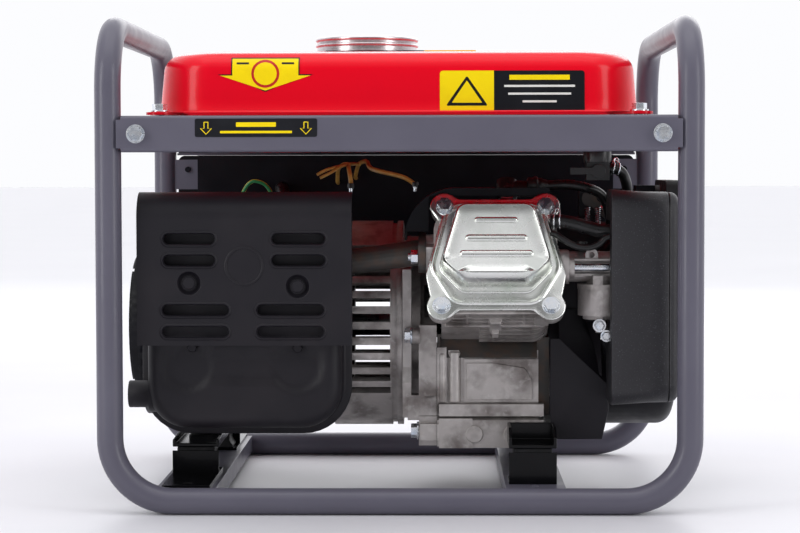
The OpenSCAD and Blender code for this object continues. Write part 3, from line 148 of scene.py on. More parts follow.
class Finish:
    """One procedural material: a Principled shader, and layers of noise for colour, gloss and relief."""

    def __init__(self, name, colour, roughness, metallic=0.0, coat=0.0, **sockets):
        self.name, self.material = name, bpy.data.materials.new(name)
        self.material.use_nodes = True
        self.nodes, self.links = self.material.node_tree.nodes, self.material.node_tree.links
        self.shader = self.nodes["Principled BSDF"]
        self.colour = (*colour, 1)
        self.shader.inputs["Base Color"].default_value = self.colour
        self.shader.inputs["Roughness"].default_value = roughness
        self.shader.inputs["Metallic"].default_value = metallic
        self.shader.inputs["Coat Weight"].default_value = coat
        self.shader.inputs["Coat Roughness"].default_value = 0.06
        for socket, value in sockets.items():
            self.shader.inputs[socket.replace("_", " ")].default_value = value
        self.place = self.nodes.new("ShaderNodeTexCoord").outputs["Object"]
        self.relief = None

    def noise(self, size, detail=4.0, stretch=(1, 1, 1)):
        """A pattern whose features are about size millimetres."""
        mapping = self.nodes.new("ShaderNodeMapping")
        mapping.inputs["Scale"].default_value = [s / (size * MM) for s in stretch]
        self.links.new(self.place, mapping.inputs["Vector"])
        texture = self.nodes.new("ShaderNodeTexNoise")
        texture.inputs["Scale"].default_value = 1.0
        texture.inputs["Detail"].default_value = detail
        self.links.new(mapping.outputs[0], texture.inputs["Vector"])
        return texture.outputs["Fac"]

    def ramp(self, value, low, high, to=(0.0, 1.0)):
        node = self.nodes.new("ShaderNodeMapRange")
        for socket, number in zip(("From Min", "From Max", "To Min", "To Max"), (low, high, *to)):
            node.inputs[socket].default_value = number
        self.links.new(value, node.inputs["Value"])
        return node.outputs[0]

    def cover(self, colour, factor):
        """Another colour over what is there, where factor is high."""
        mix = self.nodes.new("ShaderNodeMix")
        mix.data_type = "RGBA"
        self.links.new(factor, mix.inputs["Factor"])
        base = self.shader.inputs["Base Color"]
        if base.is_linked:
            self.links.new(base.links[0].from_socket, mix.inputs[6])
        else:
            mix.inputs[6].default_value = self.colour
        mix.inputs[7].default_value = (*colour, 1)
        self.links.new(mix.outputs[2], base)
        return self

    def tint(self, colour, size, low=0.45, high=0.7, share=1.0, **noise):
        """Patches of another colour over what is there."""
        return self.cover(colour, self.ramp(self.noise(size, **noise), low, high, (0, share)))

    def gloss(self, size, low, high, **noise):
        """Roughness that wanders between two values."""
        rough = self.ramp(self.noise(size, **noise), 0.3, 0.7, (low, high))
        self.links.new(rough, self.shader.inputs["Roughness"])
        return self

    def bump(self, size, depth, **noise):
        """Relief of about depth millimetres, on top of what is there."""
        node = self.nodes.new("ShaderNodeBump")
        node.inputs["Strength"].default_value = 1.0
        node.inputs["Distance"].default_value = depth * MM
        self.links.new(self.noise(size, **noise), node.inputs["Height"])
        if self.relief:
            self.links.new(self.relief, node.inputs["Normal"])
        self.relief = node.outputs[0]
        self.links.new(self.relief, self.shader.inputs["Normal"])
        return self

    def distance(self, colour, near, far):
        """Another colour further from the origin, in metres."""
        length = self.nodes.new("ShaderNodeVectorMath")
        length.operation = "LENGTH"
        self.links.new(self.place, length.inputs[0])
        return self.cover(colour, self.ramp(length.outputs["Value"], near, far))


def make_finishes():
    made = (
        Finish("frame_grey", (0.106, 0.101, 0.134), 0.34, IOR=1.4, coat=0.1)
        .tint((0.118, 0.113, 0.148), 60, share=0.8).gloss(25, 0.3, 0.42).bump(1.4, 0.012),
        Finish("tank_red", (0.80, 0.0, 0.013), 0.24, IOR=1.28, coat=0.12)
        .tint((0.74, 0.0, 0.016), 90, share=0.6).bump(2.4, 0.008),
        Finish("black_paint", (0.0022, 0.0022, 0.0045), 0.38, IOR=1.27)
        .tint((0.005, 0.005, 0.009), 30).gloss(18, 0.32, 0.5).bump(1.2, 0.03),
        Finish("gloss_black", (0.0012, 0.0012, 0.0018), 0.2, IOR=1.26, coat=0.08)
        .tint((0.003, 0.003, 0.004), 14, share=0.6).bump(1.4, 0.02),
        Finish("muffler_black", (0.0075, 0.0064, 0.0100), 0.5, IOR=1.38)
        .tint((0.0120, 0.010, 0.0135), 45).gloss(30, 0.42, 0.58).bump(0.5, 0.03).bump(5, 0.05),
        Finish("cast_aluminium", (0.50, 0.47, 0.455), 0.42, metallic=0.6)
        .tint((0.125, 0.104, 0.096), 26, low=0.46, high=0.70, share=0.85)
        .tint((0.64, 0.62, 0.60), 7, low=0.55, high=0.75, share=0.55)
        .gloss(12, 0.34, 0.56).bump(1.1, 0.10).bump(9, 0.25),
        Finish("raw_steel", (0.42, 0.42, 0.43), 0.3, metallic=1.0)
        .tint((0.28, 0.27, 0.27), 14).gloss(8, 0.22, 0.42).bump(0.6, 0.02),
        Finish("iron", (0.10, 0.095, 0.09), 0.55, metallic=0.8)
        .tint((0.14, 0.10, 0.08), 12).bump(0.9, 0.06),
        Finish("zinc", (0.74, 0.76, 0.78), 0.2, metallic=1.0)
        .tint((0.52, 0.62, 0.76), 6, share=0.6).gloss(5, 0.14, 0.34).bump(0.7, 0.03),
        Finish("pressed_zinc", (0.80, 0.81, 0.78), 0.25, metallic=1.0)
        .tint((0.68, 0.72, 0.66), 24, share=0.7).gloss(16, 0.2, 0.32).bump(0.9, 0.02).bump(14, 0.10),
        Finish("cap_metal", (0.62, 0.58, 0.59), 0.26, metallic=1.0)
        .tint((0.76, 0.73, 0.74), 5, stretch=(1, 1, 0.1)).gloss(1.2, 0.18, 0.42, stretch=(1, 1, 8)),
        Finish("rubber", (0.006, 0.006, 0.007), 0.55, Specular_IOR_Level=0.35)
        .tint((0.013, 0.013, 0.014), 8).gloss(6, 0.45, 0.7).bump(0.6, 0.03),
        Finish("hose_rubber", (0.005, 0.005, 0.0055), 0.28, Specular_IOR_Level=0.45)
        .tint((0.010, 0.010, 0.011), 9).gloss(7, 0.24, 0.4).bump(2.0, 0.03),
        Finish("grained_plastic", (0.015, 0.0145, 0.018), 0.42)
        .tint((0.085, 0.085, 0.1), 0.9, low=0.66, high=0.72, share=0.7, detail=1.0)
        .gloss(16, 0.38, 0.54).bump(0.8, 0.14).bump(3.0, 0.05),
        Finish("smooth_plastic", (0.006, 0.006, 0.007), 0.34)
        .tint((0.012, 0.012, 0.013), 12).gloss(9, 0.28, 0.44).bump(0.8, 0.02),
        Finish("red_plastic", (0.55, 0.012, 0.01), 0.32)
        .tint((0.46, 0.01, 0.01), 6).bump(0.9, 0.02),
        Finish("white_plastic", (0.78, 0.77, 0.72), 0.4)
        .tint((0.70, 0.68, 0.62), 8).bump(0.8, 0.02),
        Finish("foam", (0.62, 0.50, 0.18), 0.9)
        .tint((0.30, 0.22, 0.06), 1.4).bump(1.0, 0.5),
        Finish("copper", (0.62, 0.24, 0.10), 0.34, metallic=0.9)
        .tint((0.40, 0.13, 0.05), 5).bump(1.3, 0.3, stretch=(1, 1, 6)),
        Finish("brown_wire", (0.50, 0.26, 0.05), 0.38)
        .tint((0.60, 0.36, 0.09), 10).bump(0.8, 0.02),
        Finish("green_wire", (0.02, 0.22, 0.07), 0.38).tint((0.03, 0.26, 0.09), 10).bump(2, 0.01),
        Finish("yellow_wire", (0.75, 0.55, 0.02), 0.38).tint((0.68, 0.50, 0.02), 10).bump(2, 0.01),
        Finish("yellow_label", (0.96, 0.72, 0.003), 0.34, IOR=1.3)
        .tint((0.90, 0.66, 0.003), 20).bump(3, 0.01),
        Finish("black_label", (0.0045, 0.005, 0.008), 0.3, Specular_IOR_Level=0.35)
        .tint((0.009, 0.010, 0.014), 20).bump(3, 0.01),
        Finish("meter_face", (0.80, 0.80, 0.76), 0.45).tint((0.74, 0.73, 0.68), 12).bump(2, 0.01),
        # the floor is painted darker near the generator and lighter further off: painted shade round it and
        # painted light towards the backdrop
        Finish("floor", (0.70, 0.695, 0.73), 0.5).distance((0.955, 0.955, 0.975), 0.9, 3.2)
        .tint((0.69, 0.685, 0.72), 700, share=0.04).gloss(300, 0.42, 0.6),
    )
    return {finish.name: finish.material for finish in made}


FINISH = make_finishes()


# ---------------- mesh tools

def at_z(u, v, w):
    return (u, v, w)


def at_y(u, v, w):
    return (u, w, v)


def at_x(u, v, w):
    return (w, u, v)


CYLINDER = Matrix.Translation((74, 0, 134)) @ Matrix.Rotation(math.radians(65), 4, "X")


def on_cylinder(u, v, w):
    """The leaning cylinder's own frame: u along the crankshaft, v up the head, w along the bore."""
    return tuple(CYLINDER @ Vector((u, v, w)))


class Shape:
    """A mesh in the making, in millimetres. Rings are lists of points that match one to one."""

    def __init__(self):
        self.points, self.faces, self.skins = [], [], []

    def ring(self, points):
        first = len(self.points)
        self.points += [tuple(p) for p in points]
        return list(range(first, len(self.points)))

    def face(self, corners, skin=0):
        self.faces.append(list(corners))
        self.skins.append(skin)

    def skin_between(self, a, b, closed=True, skin=0):
        n = len(a)
        for i in range(n if closed else n - 1):
            j = (i + 1) % n
            self.face((a[i], a[j], b[j], b[i]), skin)

    def loft(self, rings, start="cap", end="cap", skin=0):
        """Joins rings in order. An end is capped, left open, or both ends are joined with "wrap"."""
        made = [self.ring(r) for r in rings]
        for a, b in zip(made, made[1:]):
            self.skin_between(a, b, skin=skin)
        if start == "wrap":
            self.skin_between(made[-1], made[0], skin=skin)
            return self
        if start == "cap":
            self.face(reversed(made[0]), skin)
        if end == "cap":
            self.face(made[-1], skin)
        return self

    def revolve(self, profile, centre, place, steps=64, skin=0):
        """Turns a closed (radius, height) outline about an axis through centre."""
        rings = []
        for k in range(steps):
            a = 2 * math.pi * k / steps
            rings.append([place(centre[0] + r * math.cos(a), centre[1] + r * math.sin(a), w)
                          for r, w in profile])
        return self.loft(rings, start="wrap", skin=skin)

    def disc(self, radius, low, high, centre, place, steps, skin=0):
        """A round plate or pin from low to high along its axis."""
        outline = [(0, low), (radius, low), (radius, high), (0, high)]
        return self.revolve(outline, centre, place, steps, skin)

    def prism(self, outline, low, high, place, skin=0):
        return self.loft([[place(u, v, w) for u, v in outline] for w in (low, high)], skin=skin)

    def box(self, lo, hi, skin=0):
        corners = [(lo[0], lo[1]), (hi[0], lo[1]), (hi[0], hi[1]), (lo[0], hi[1])]
        return self.prism(corners, lo[2], hi[2], at_z, skin=skin)

    def tube(self, path, radius, sides=14, skins=None):
        """A round tube along points; radius is a number or one for each point; skins cycle round it."""
        path = [Vector(p) for p in path]
        n = len(path)
        radii = radius if isinstance(radius, list) else [radius] * n
        tangent = [(path[min(i + 1, n - 1)] - path[max(i - 1, 0)]).normalized() for i in range(n)]
        side = tangent[0].orthogonal().normalized()
        rings = []
        for i in range(n):
            side = (side - tangent[i] * side.dot(tangent[i])).normalized()
            other = tangent[i].cross(side)
            rings.append([
                path[i] + radii[i] * (math.cos(a) * side + math.sin(a) * other)
                for a in (2 * math.pi * k / sides for k in range(sides))
            ])
        first = len(self.faces)
        self.loft(rings)
        if skins:
            for k in range(first, len(self.faces)):
                self.skins[k] = skins[(k - first) % sides % len(skins)]
        return self

    def piece(self, name, finish, body="frame", replaces=(), sharp=35, bevel=0.0, smooth=0):
        """Makes the object: finish is one name or several, which skins count through."""
        finishes = [finish] if isinstance(finish, str) else list(finish)
        mesh = bpy.data.meshes.new(name)
        bm = bmesh.new()
        verts = [bm.verts.new(Vector(p) * MM) for p in self.points]
        for corners, skin in zip(self.faces, self.skins):
            try:
                made = bm.faces.new([verts[i] for i in corners])
            except ValueError:
                continue
            made.material_index = skin
            made.smooth = True
        bmesh.ops.remove_doubles(bm, verts=bm.verts, dist=0.002 * MM)
        bmesh.ops.dissolve_degenerate(bm, dist=0.002 * MM, edges=bm.edges)
        bmesh.ops.recalc_face_normals(bm, faces=bm.faces)
        bm.to_mesh(mesh)
        bm.free()
        for f in finishes:
            mesh.materials.append(FINISH[f])
        made = bpy.data.objects.new(name, mesh)
        bpy.context.scene.collection.objects.link(made)
        if smooth:
            subdivide = made.modifiers.new("smooth", "SUBSURF")
            subdivide.levels = subdivide.render_levels = smooth
        else:
            mesh.set_sharp_from_angle(angle=math.radians(sharp))
        if bevel:
            add_bevel(made, bevel, sharp)
        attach(made, body)
        if replaces:
            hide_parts(*replaces)
        return made


def add_bevel(thing, width, angle=30, segments=2):
    bevel = thing.modifiers.new("bevel", "BEVEL")
    bevel.width = width * MM
    bevel.segments = segments
    bevel.limit_method = "ANGLE"
    bevel.angle_limit = math.radians(angle)
    bevel.harden_normals = True
    return bevel


def arc(centre, radius, start, end, steps=8):
    """Points on an arc in a plane; angles in degrees."""
    return [
        (centre[0] + radius * math.cos(math.radians(start + (end - start) * k / steps)),
         centre[1] + radius * math.sin(math.radians(start + (end - start) * k / steps)))
        for k in range(steps + 1)
    ]


def rounded_rectangle(half_u, half_v, radius, centre=(0, 0), steps=8, side_steps=1):
    """An outline with round corners, anticlockwise; every call with the same steps has as many points."""
    points = []
    corners = ((1, 1, 0), (-1, 1, 90), (-1, -1, 180), (1, -1, 270))
    for su, sv, start in corners:
        at = (centre[0] + su * (half_u - radius), centre[1] + sv * (half_v - radius))
        turn = arc(at, radius, start, start + 90, steps)
        if points:
            points += between(points[-1], turn[0], side_steps)
        points += turn
    return points + between(points[-1], points[0], side_steps)


def between(a, b, steps):
    """Evenly spaced points strictly between a and b."""
    return [tuple(x + (y - x) * k / steps for x, y in zip(a, b)) for k in range(1, steps)]


def stadium(centre, half_length, radius, steps=10):
    """A slot's outline with its long side along u."""
    run = half_length - radius
    return (arc((centre[0] + run, centre[1]), radius, -90, 90, steps)
            + arc((centre[0] - run, centre[1]), radius, 90, 270, steps))


def blend_rings(a, b, share):
    return [tuple(x + (y - x) * share for x, y in zip(p, q)) for p, q in zip(a, b)]


def smooth_path(points, steps=6):
    """Catmull-Rom points through given ones."""
    points = [Vector(p) for p in points]
    made = []
    for i in range(len(points) - 1):
        a, b, c, d = (points[max(0, min(len(points) - 1, k))] for k in (i - 1, i, i + 1, i + 2))
        for j in range(steps):
            t = j / steps
            made.append(0.5 * (2 * b + t * (c - a) + t * t * (2 * a - 5 * b + 4 * c - d)
                               + t ** 3 * (3 * b - a - 3 * c + d)))
    return made + [points[-1]]


def smoothstep(x):
    x = min(1.0, max(0.0, x))
    return x * x * (3 - 2 * x)


# ---------------- CAD nodes that stay

def dress(node, finish, bevel=0.5, angle=32):
    """Gives a CAD node its material and softened edges."""
    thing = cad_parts[node]
    thing.data.materials.clear()
    thing.data.materials.append(FINISH[finish])
    weld = thing.modifiers.new("weld", "WELD")
    weld.merge_threshold = 0.004 * MM
    if bevel:
        flat = thing.modifiers.new("flat", "DECIMATE")
        flat.decimate_type = "DISSOLVE"
        flat.angle_limit = math.radians(0.6)
        add_bevel(thing, bevel, angle)
    return thing


# ---------------- fuel tank and cap

TANK_X = -1.4
TANK_HALF = (187, 150)
FLANGE_HALF = (193, 156)
TANK_BOLT = (182, 160)
CAP_X = -29.4
SHELL = 1.5
TANK_EDGE = 15
TANK_DRAFT = 3
TANK_SHOULDER = 47.5
TANK_CROWN = 50


def tank_ring(half_u, half_v, radius, z):
    outline = rounded_rectangle(half_u, half_v, radius, (TANK_X, 0), steps=10, side_steps=9)
    return [(u, v, z) for u, v in outline]


def flange_ring(z):
    """The welded flange's outline: a round-cornered rectangle with an ear out to each bolt."""
    points = []
    for su, sv, start in ((1, 1, 0), (-1, 1, 90), (-1, -1, 180), (1, -1, 270)):
        corner = (TANK_X + su * (FLANGE_HALF[0] - 34), sv * (FLANGE_HALF[1] - 34))
        ear = arc((su * TANK_BOLT[0], sv * TANK_BOLT[1]), 10.5, start - 40, start + 130, 6)
        turn = [*arc(corner, 34, start, start + 9, 1), *ear, *arc(corner, 34, start + 81, start + 90, 1)]
        if points:
            points += between(points[-1], turn[0], 9)
        points += turn
    points += between(points[-1], points[0], 9)
    return [(u, v, z) for u, v in points]


def neck_ring(like, radius, z):
    """A circle round the filler, with a point facing each point of another ring."""
    angles = [math.atan2(v * 1.15, u - CAP_X) for u, v, _ in like]
    return [(CAP_X + radius * math.cos(a), radius * math.sin(a), z) for a in angles]


def tank_inset(rise):
    """How far the tank's wall has drawn in at a height above the flange."""
    start = TANK_SHOULDER - TANK_EDGE
    if rise < start:
        return 0.2 + (TANK_DRAFT - 0.2) * rise / start
    turn = math.asin(min(1.0, (rise - start) / TANK_EDGE))
    return TANK_DRAFT + TANK_EDGE * (1 - math.cos(turn))


def tank_upper():
    neck_lo, neck_hi = node_box("filler_neck")
    base = node_box("tank_upper_shell")[0][2]
    top = base + TANK_CROWN
    mouth, foot = neck_hi[2], neck_lo[2]

    def body(inset, z, radius=45):
        return tank_ring(TANK_HALF[0] - inset, TANK_HALF[1] - inset, radius - inset * 0.5, z)

    rings = [flange_ring(base + 0.05), flange_ring(base + 0.25), flange_ring(base + 0.8),
             flange_ring(base + 1)]
    rings += [body(-1.5, base + 1.05), body(-0.4, base + 1.5)]
    rings += [body(tank_inset(z), base + z) for z in (3, 12, 22, 30)]
    edge = [TANK_SHOULDER - TANK_EDGE * (1 - math.sin(math.radians(a))) for a in range(0, 91, 11)]
    rings += [body(tank_inset(z), base + z) for z in edge]
    rings += [body(19.5, base + 47.8), body(28, base + 48.7), body(42, base + 49.5, 50),
              body(60, base + 49.9, 60),
              body(75, top, 64)]
    plain = rings[-1]
    rim = neck_ring(plain, 40, top)
    rings += [blend_rings(plain, rim, s) for s in (0.3, 0.6, 0.85)]
    rings += [rim, neck_ring(plain, 36, top + 0.4), neck_ring(plain, 34, top + 1.2)]
    rings += [neck_ring(plain, r, z) for r, z in (
        (32.9, top + 2.4), (32.9, mouth - 2.2), (35, mouth - 1.7), (36, mouth - 1), (35.4, mouth - 0.1),
        (31, mouth - 0.1), (30, mouth - 1), (30, foot + 0.4), (31, foot), (32.4, foot), (32.9, top - SHELL),
        (40, top - SHELL))]
    inside = [(75, top - SHELL, 64), (42, top - 0.5 - SHELL, 50), (28, base + 46.8, 45),
              (16, base + 43.5, 45), (6.5, base + 32, 45), (SHELL + 0.2, base + 3, 45),
              (SHELL + 2, base + 0.05, 45)]
    rings += [body(i, z, r) for i, z, r in inside]
    Shape().loft(rings, start="wrap").piece(
        "tank_upper_body", "tank_red", replaces=["tank_upper_shell", "filler_neck"], sharp=38)


def tank_lower():
    lo, hi = node_box("tank_lower_shell")
    top, bottom = hi[2], lo[2]

    def body(inset, z, radius=40):
        return tank_ring(166 - inset, 138 - inset, max(10, radius - inset * 0.4), z)

    edge = [(2 + 12 * (1 - math.cos(math.radians(a))), bottom + 13 - 12 * math.sin(math.radians(a)))
            for a in range(0, 91, 15)]
    rings = [flange_ring(top - 0.05), flange_ring(top - 0.25), flange_ring(top - 0.8), flange_ring(top - 1)]
    rings += [body(-2, top - 1.05), body(0, top - 3)] + [body(i, z) for i, z in edge]
    rings += [body(40, bottom + 0.9), body(44, bottom + 2.6), body(60, bottom + 3), body(72, bottom + 3)]
    rings += [body(76, bottom + 1.4), body(80, bottom + 0.6), body(110, bottom + 0.5),
              body(130, bottom + 0.5)]
    Shape().loft(rings).piece("tank_lower_body", "tank_red", replaces=["tank_lower_shell"], sharp=38)


def fuel_cap():
    lo, hi = node_box("fuel_cap_shell")
    low, high = lo[2], hi[2]
    r = (hi[0] - lo[0]) / 2
    outer = [(r - 1.2, low), (r - 0.3, low + 0.3), (r, low + 1), (r - 0.2, low + 1.9), (r - 1.3, low + 2.4),
             (r - 1.5, low + 5), (r - 0.4, low + 5.6), (r, low + 6.6), (r - 0.4, low + 7.6),
             (r - 1.5, low + 8),
             (r - 1.5, low + 9.4), (r - 0.7, low + 9.9), (r - 0.1, low + 10.7), (r, low + 11.7),
             (r - 0.6, low + 12.6), (r - 2.2, high - 0.2), (r - 4.5, high), (r - 6.5, high - 0.6),
             (r - 8, high - 1.5), (r - 12, high - 1.6), (14, high - 1.1), (5, high - 0.9), (0, high - 0.9)]
    inner = [(0, high - 2.4), (r - 8, high - 2.9), (r - 3, high - 3.4), (r - 2.6, high - 5), (r - 2.6, low)]
    Shape().revolve(outer + inner, (CAP_X, 0), at_z, 96).piece(
        "fuel_cap_cover", "cap_metal", "fuel_cap_shell", ["fuel_cap_shell"], sharp=50)


# ---------------- muffler and heat shield

MUFFLER = (-119.8, 147.5)
MUFFLER_HALF = (82, 92)
TAIL_PIPE = (-134, 88)
RIM_Y = -121
SCREWS = ((-160.3, 175.5), (-77.5, 173))
DISHES = ((-164, 112, 18, 22), (-79, 112, 18, 22))


def muffler_ring(inset, y, radius=38, press=False):
    outline = rounded_rectangle(MUFFLER_HALF[0] - inset, MUFFLER_HALF[1] - inset, radius, MUFFLER,
                                steps=9, side_steps=11)
    return [(x, y + (pressed(x, z) if press else 0), z) for x, z in outline]


def pressed(x, z):
    """How far the muffler's front is pushed in at a place: two dishes and the trough between them."""
    depth = 0.0
    for u, w, flat, edge in DISHES:
        away = math.hypot(x - u, z - w)
        depth = max(depth, smoothstep((edge - away) / (edge - flat)) * 3)
    along = smoothstep((48 - abs(x + 121.5)) / 5)
    across = smoothstep((13 - abs(z - 110)) / 5)
    return max(depth, 2 * along * across)


def muffler():
    front, back = -152, -90.5
    round_edge = [(7 + 10 * (1 - math.sin(math.radians(a))), 10 - 10 * math.cos(math.radians(a)))
                  for a in range(0, 91, 15)]
    face_insets = (78, 72, 67, 63, 60, 57, 54, 51, 48, 45, 42, 39, 36, 33, 30, 27, 24, 21)
    rings = [muffler_ring(i, front, max(3, 34 - i * 0.42), press=True) for i in face_insets]
    rings += [muffler_ring(i, front + d, 31 - (i - 7) * 0.3, press=True) for i, d in round_edge]
    rings += [muffler_ring(7, RIM_Y - 4, 31), muffler_ring(6.2, RIM_Y - 2.2, 32),
              muffler_ring(4.5, RIM_Y - 1.5, 34)]
    rings += [muffler_ring(1, RIM_Y - 1.5, 37), muffler_ring(0.2, RIM_Y - 1, 38),
              muffler_ring(0, RIM_Y, 38),
              muffler_ring(0.2, RIM_Y + 1, 38), muffler_ring(1, RIM_Y + 1.5, 37)]
    rings += [muffler_ring(4.5, RIM_Y + 1.5, 34), muffler_ring(6.2, RIM_Y + 2.2, 32),
              muffler_ring(7, RIM_Y + 4, 31)]
    rings += [muffler_ring(i, back - d, 31 - (i - 7) * 0.3) for i, d in reversed(round_edge)]
    rings += [muffler_ring(i, back, max(3, 34 - i * 0.42)) for i in (22, 40, 60, 78)]
    shape = Shape().loft(rings)
    x0 = node_box("muffler")[0][0]
    pipe = [(10.5, x0 + 24), (10.5, x0 + 0.5), (10.1, x0), (9, x0), (8.5, x0 + 0.6), (8.5, x0 + 30),
            (10.5, x0 + 30)]
    shape.revolve(pipe, TAIL_PIPE, at_x, 40)
    collar = [(0, x0 + 16), (13.5, x0 + 16), (14, x0 + 17), (14, x0 + 24), (0, x0 + 24)]
    shape.revolve(collar, TAIL_PIPE, at_x, 40)
    for u, w in SCREWS:
        shape.revolve([(0, -160.1), (5.6, -160.1), (6, -159.6), (6, -150), (0, -150)], (u, w), at_y, 24)
    for u in (-166, -130):
        shape.box((u, back - 2, 122), (u + 3, -86, 146))
    shape.box((-166, back + 2, 124), (-127, back + 4.6, 144))
    shape.piece("muffler_shells", "muffler_black", replaces=["muffler"], sharp=45)


SHIELD_T = 1.2
SLOT_ROWS = (
    ((-179.4, -140.7), (-96.7, -56.8), 209.2), ((-179.4, -140.7), (-96.7, -56.8), 192.8),
    ((-180.4, -130.4), (-108.2, -57.7), 155.0), ((-180.4, -130.4), (-108.2, -57.7), 138.4),
)
SLOT_R = 3.9
RIM_STEPS = ((3, 0), (2.6, 0), (2.2, -0.4), (1.6, -0.9), (0.9, -0.8), (0.3, 0.1), (0, 1.6), (0.3, 2.6),
             (0.9, 2.2), (1.4, SHIELD_T))
DIMPLE_STEPS = ((9.8, 0), (9.4, 0), (8.9, 0.4), (8.3, 2.0), (7.6, 3.4), (6.4, 4.0), (3, 4.0), (3, 5.0),
                (7.4, 5.0), (8.8, 4.2), (9.6, 2.4), (10.4, SHIELD_T))
SHIELD_RING = (-118.2, 188.6, 13.4)
MUFFLER_SCREWS = ((-159.5, 125.4), (-78.5, 125))


def flat_fill(bm, loops):
    """Faces between an outer loop of vertices and the holes in it."""
    edges = []
    for loop in loops:
        for a, b in zip(loop, loop[1:] + loop[:1]):
            edges.append(bm.edges.get((a, b)) or bm.edges.new((a, b)))
    return bmesh.ops.triangle_fill(bm, use_beauty=True, edges=edges)


def pierced_sheet(outline, holes, thickness, place):
    """A flat sheet whose holes have lips. A hole is (ring function, steps) and a step is (offset, depth)."""
    bm = bmesh.new()

    def loop(points, w):
        return [bm.verts.new(place(u, v, w)) for u, v in points]

    def join(a, b):
        for i in range(len(a)):
            j = (i + 1) % len(a)
            bm.faces.new((a[i], a[j], b[j], b[i]))

    front, back = [loop(outline, 0)], [loop(outline, thickness)]
    join(front[0], back[0])
    for ring, steps in holes:
        lips = [loop(ring(offset), depth) for offset, depth in steps]
        for a, b in zip(lips, lips[1:]):
            join(a, b)
        front.append(lips[0])
        back.append(lips[-1])
    for side in (front, back):
        flat_fill(bm, side)
    return bm


def heat_shield():
    lo, hi = node_box("heat_shield")
    y, z0, z1 = lo[1], lo[2], hi[2]
    x0, x1 = lo[0], hi[0]
    bend = 20
    flat_top = z1 - bend
    holes = []
    for left, right, z in SLOT_ROWS:
        for a, b in (left, right):
            middle, half = ((a + b) / 2, z), (b - a) / 2
            holes.append((lambda off, m=middle, h=half: stadium(m, h + off, SLOT_R + off, 16), RIM_STEPS))
    for u, w in SCREWS:
        holes.append((lambda off, u=u, w=w: arc((u, w), off, 0, 351, 39), DIMPLE_STEPS))
    outline = [(x0, z0), (x1, z0), (x1, flat_top), (x0, flat_top)]
    bm = pierced_sheet(outline, holes, SHIELD_T, lambda u, v, w: (u, y + w, v))
    shape = Shape()
    bm.verts.ensure_lookup_table()
    bm.verts.index_update()
    shape.points = [tuple(v.co) for v in bm.verts]
    for f in bm.faces:
        shape.face([v.index for v in f.verts])
    bm.free()

    roll = arc((y + bend, flat_top), bend, 180, 96, 14)
    under = list(reversed(arc((y + bend, flat_top), bend - SHIELD_T, 180, 96, 14)))
    shape.prism(roll + under, x0, x1, at_x)
    for x in (x0, x1 - SHIELD_T):
        shape.box((x, y + 0.6, z0), (x + SHIELD_T, y + 12, flat_top + 4))
    u, v, r = SHIELD_RING
    ring = [(r + grow, y + d) for grow, d in ((1.8, 0.3), (1.7, -0.4), (1.2, -0.8), (0.2, -0.8),
                                              (-0.3, -0.4), (-0.4, 0.3))]
    shape.revolve(ring, (u, v), at_y, 48)
    shape.piece("heat_shield_plate", "muffler_black", replaces=["heat_shield"], sharp=40)

    sockets = Shape()
    for u, w in SCREWS:
        low = y + 3.9
        head = [(0, low), (5.6, low), (5.6, low - 0.7), (5.1, low - 1.1), (5, low - 2.6), (4.5, low - 3.1),
                (2.9, low - 3.1), (2.6, low - 2.9), (2.5, low - 1), (0, low - 1)]
        sockets.revolve(head, (u, w), at_y, 24)
    for u, w in MUFFLER_SCREWS:
        sockets.revolve([(0, -149), (4, -149), (4, -152), (3.3, -152.8), (0, -152.8)], (u, w), at_y, 6)
    sockets.piece("shield_screw_heads", "muffler_black", sharp=35)


# ---------------- valve cover

COVER_BOLTS = ((-39.4, 41.7), (39.4, 41.7), (-42, -41.6), (42, -41.6))
COVER_SEAT = 142.1
COVER_MIDDLE = (0, -3)
FLANGE = ((38.5, 48), (-38.5, 48), (-54.3, -16), (-51, -33), (-46, -45.1), (46, -45.1), (51, -33),
          (54.3, -16))
CHANNEL = ((36, 42), (-36, 42), (-48.5, -10), (-32, -38), (32, -38), (48.5, -10))
DOME_FOOT = ((30.5, 37), (-30.5, 37), (-43.5, -11), (-26, -30), (26, -30), (43.5, -11))
DOME_FACE = ((28, 33), (-28, 33), (-40.5, -12), (-30, -22.5), (30, -22.5), (40.5, -12))
RIBS = ((20, 17, 2.6), (5, 24, 3.1), (-8, 28.5, 3.1))


def soft_corners(corners, radius, grow=0.0):
    """A convex outline with round corners, moved outwards by grow."""
    points = []
    n = len(corners)
    for k in range(n):
        before, at, after = (Vector(corners[m % n]) for m in (k - 1, k, k + 1))
        back, on = (before - at).normalized(), (after - at).normalized()
        half = back.angle(on) / 2
        centre = at + (back + on).normalized() * radius / math.sin(half)
        start = math.degrees(math.atan2(back.x, -back.y))
        points += arc(centre, radius + grow, start, start + 180 - 2 * math.degrees(half), 6)
    return points


def reach(outline, angle):
    """How far a closed outline lies from the cover's middle in a direction."""
    du, dv = math.cos(angle), math.sin(angle)
    far = 0.0
    for (u0, v0), (u1, v1) in zip(outline, outline[1:] + outline[:1]):
        u0, u1 = u0 - COVER_MIDDLE[0], u1 - COVER_MIDDLE[0]
        v0, v1 = v0 - COVER_MIDDLE[1], v1 - COVER_MIDDLE[1]
        a, b = u0 * dv - v0 * du, u1 * dv - v1 * du
        if a * b <= 0 and a != b:
            s = a / (a - b)
            far = max(far, (u0 + (u1 - u0) * s) * du + (v0 + (v1 - v0) * s) * dv)
    return far


def cover_ring(outlines, w, steps=160):
    """A ring on the cover round several outlines joined together."""
    angles = [2 * math.pi * k / steps for k in range(steps)]
    far = [max(reach(o, a) for o in outlines) for a in angles]
    return [on_cylinder(COVER_MIDDLE[0] + r * math.cos(a), COVER_MIDDLE[1] + r * math.sin(a), w)
            for r, a in zip(far, angles)]


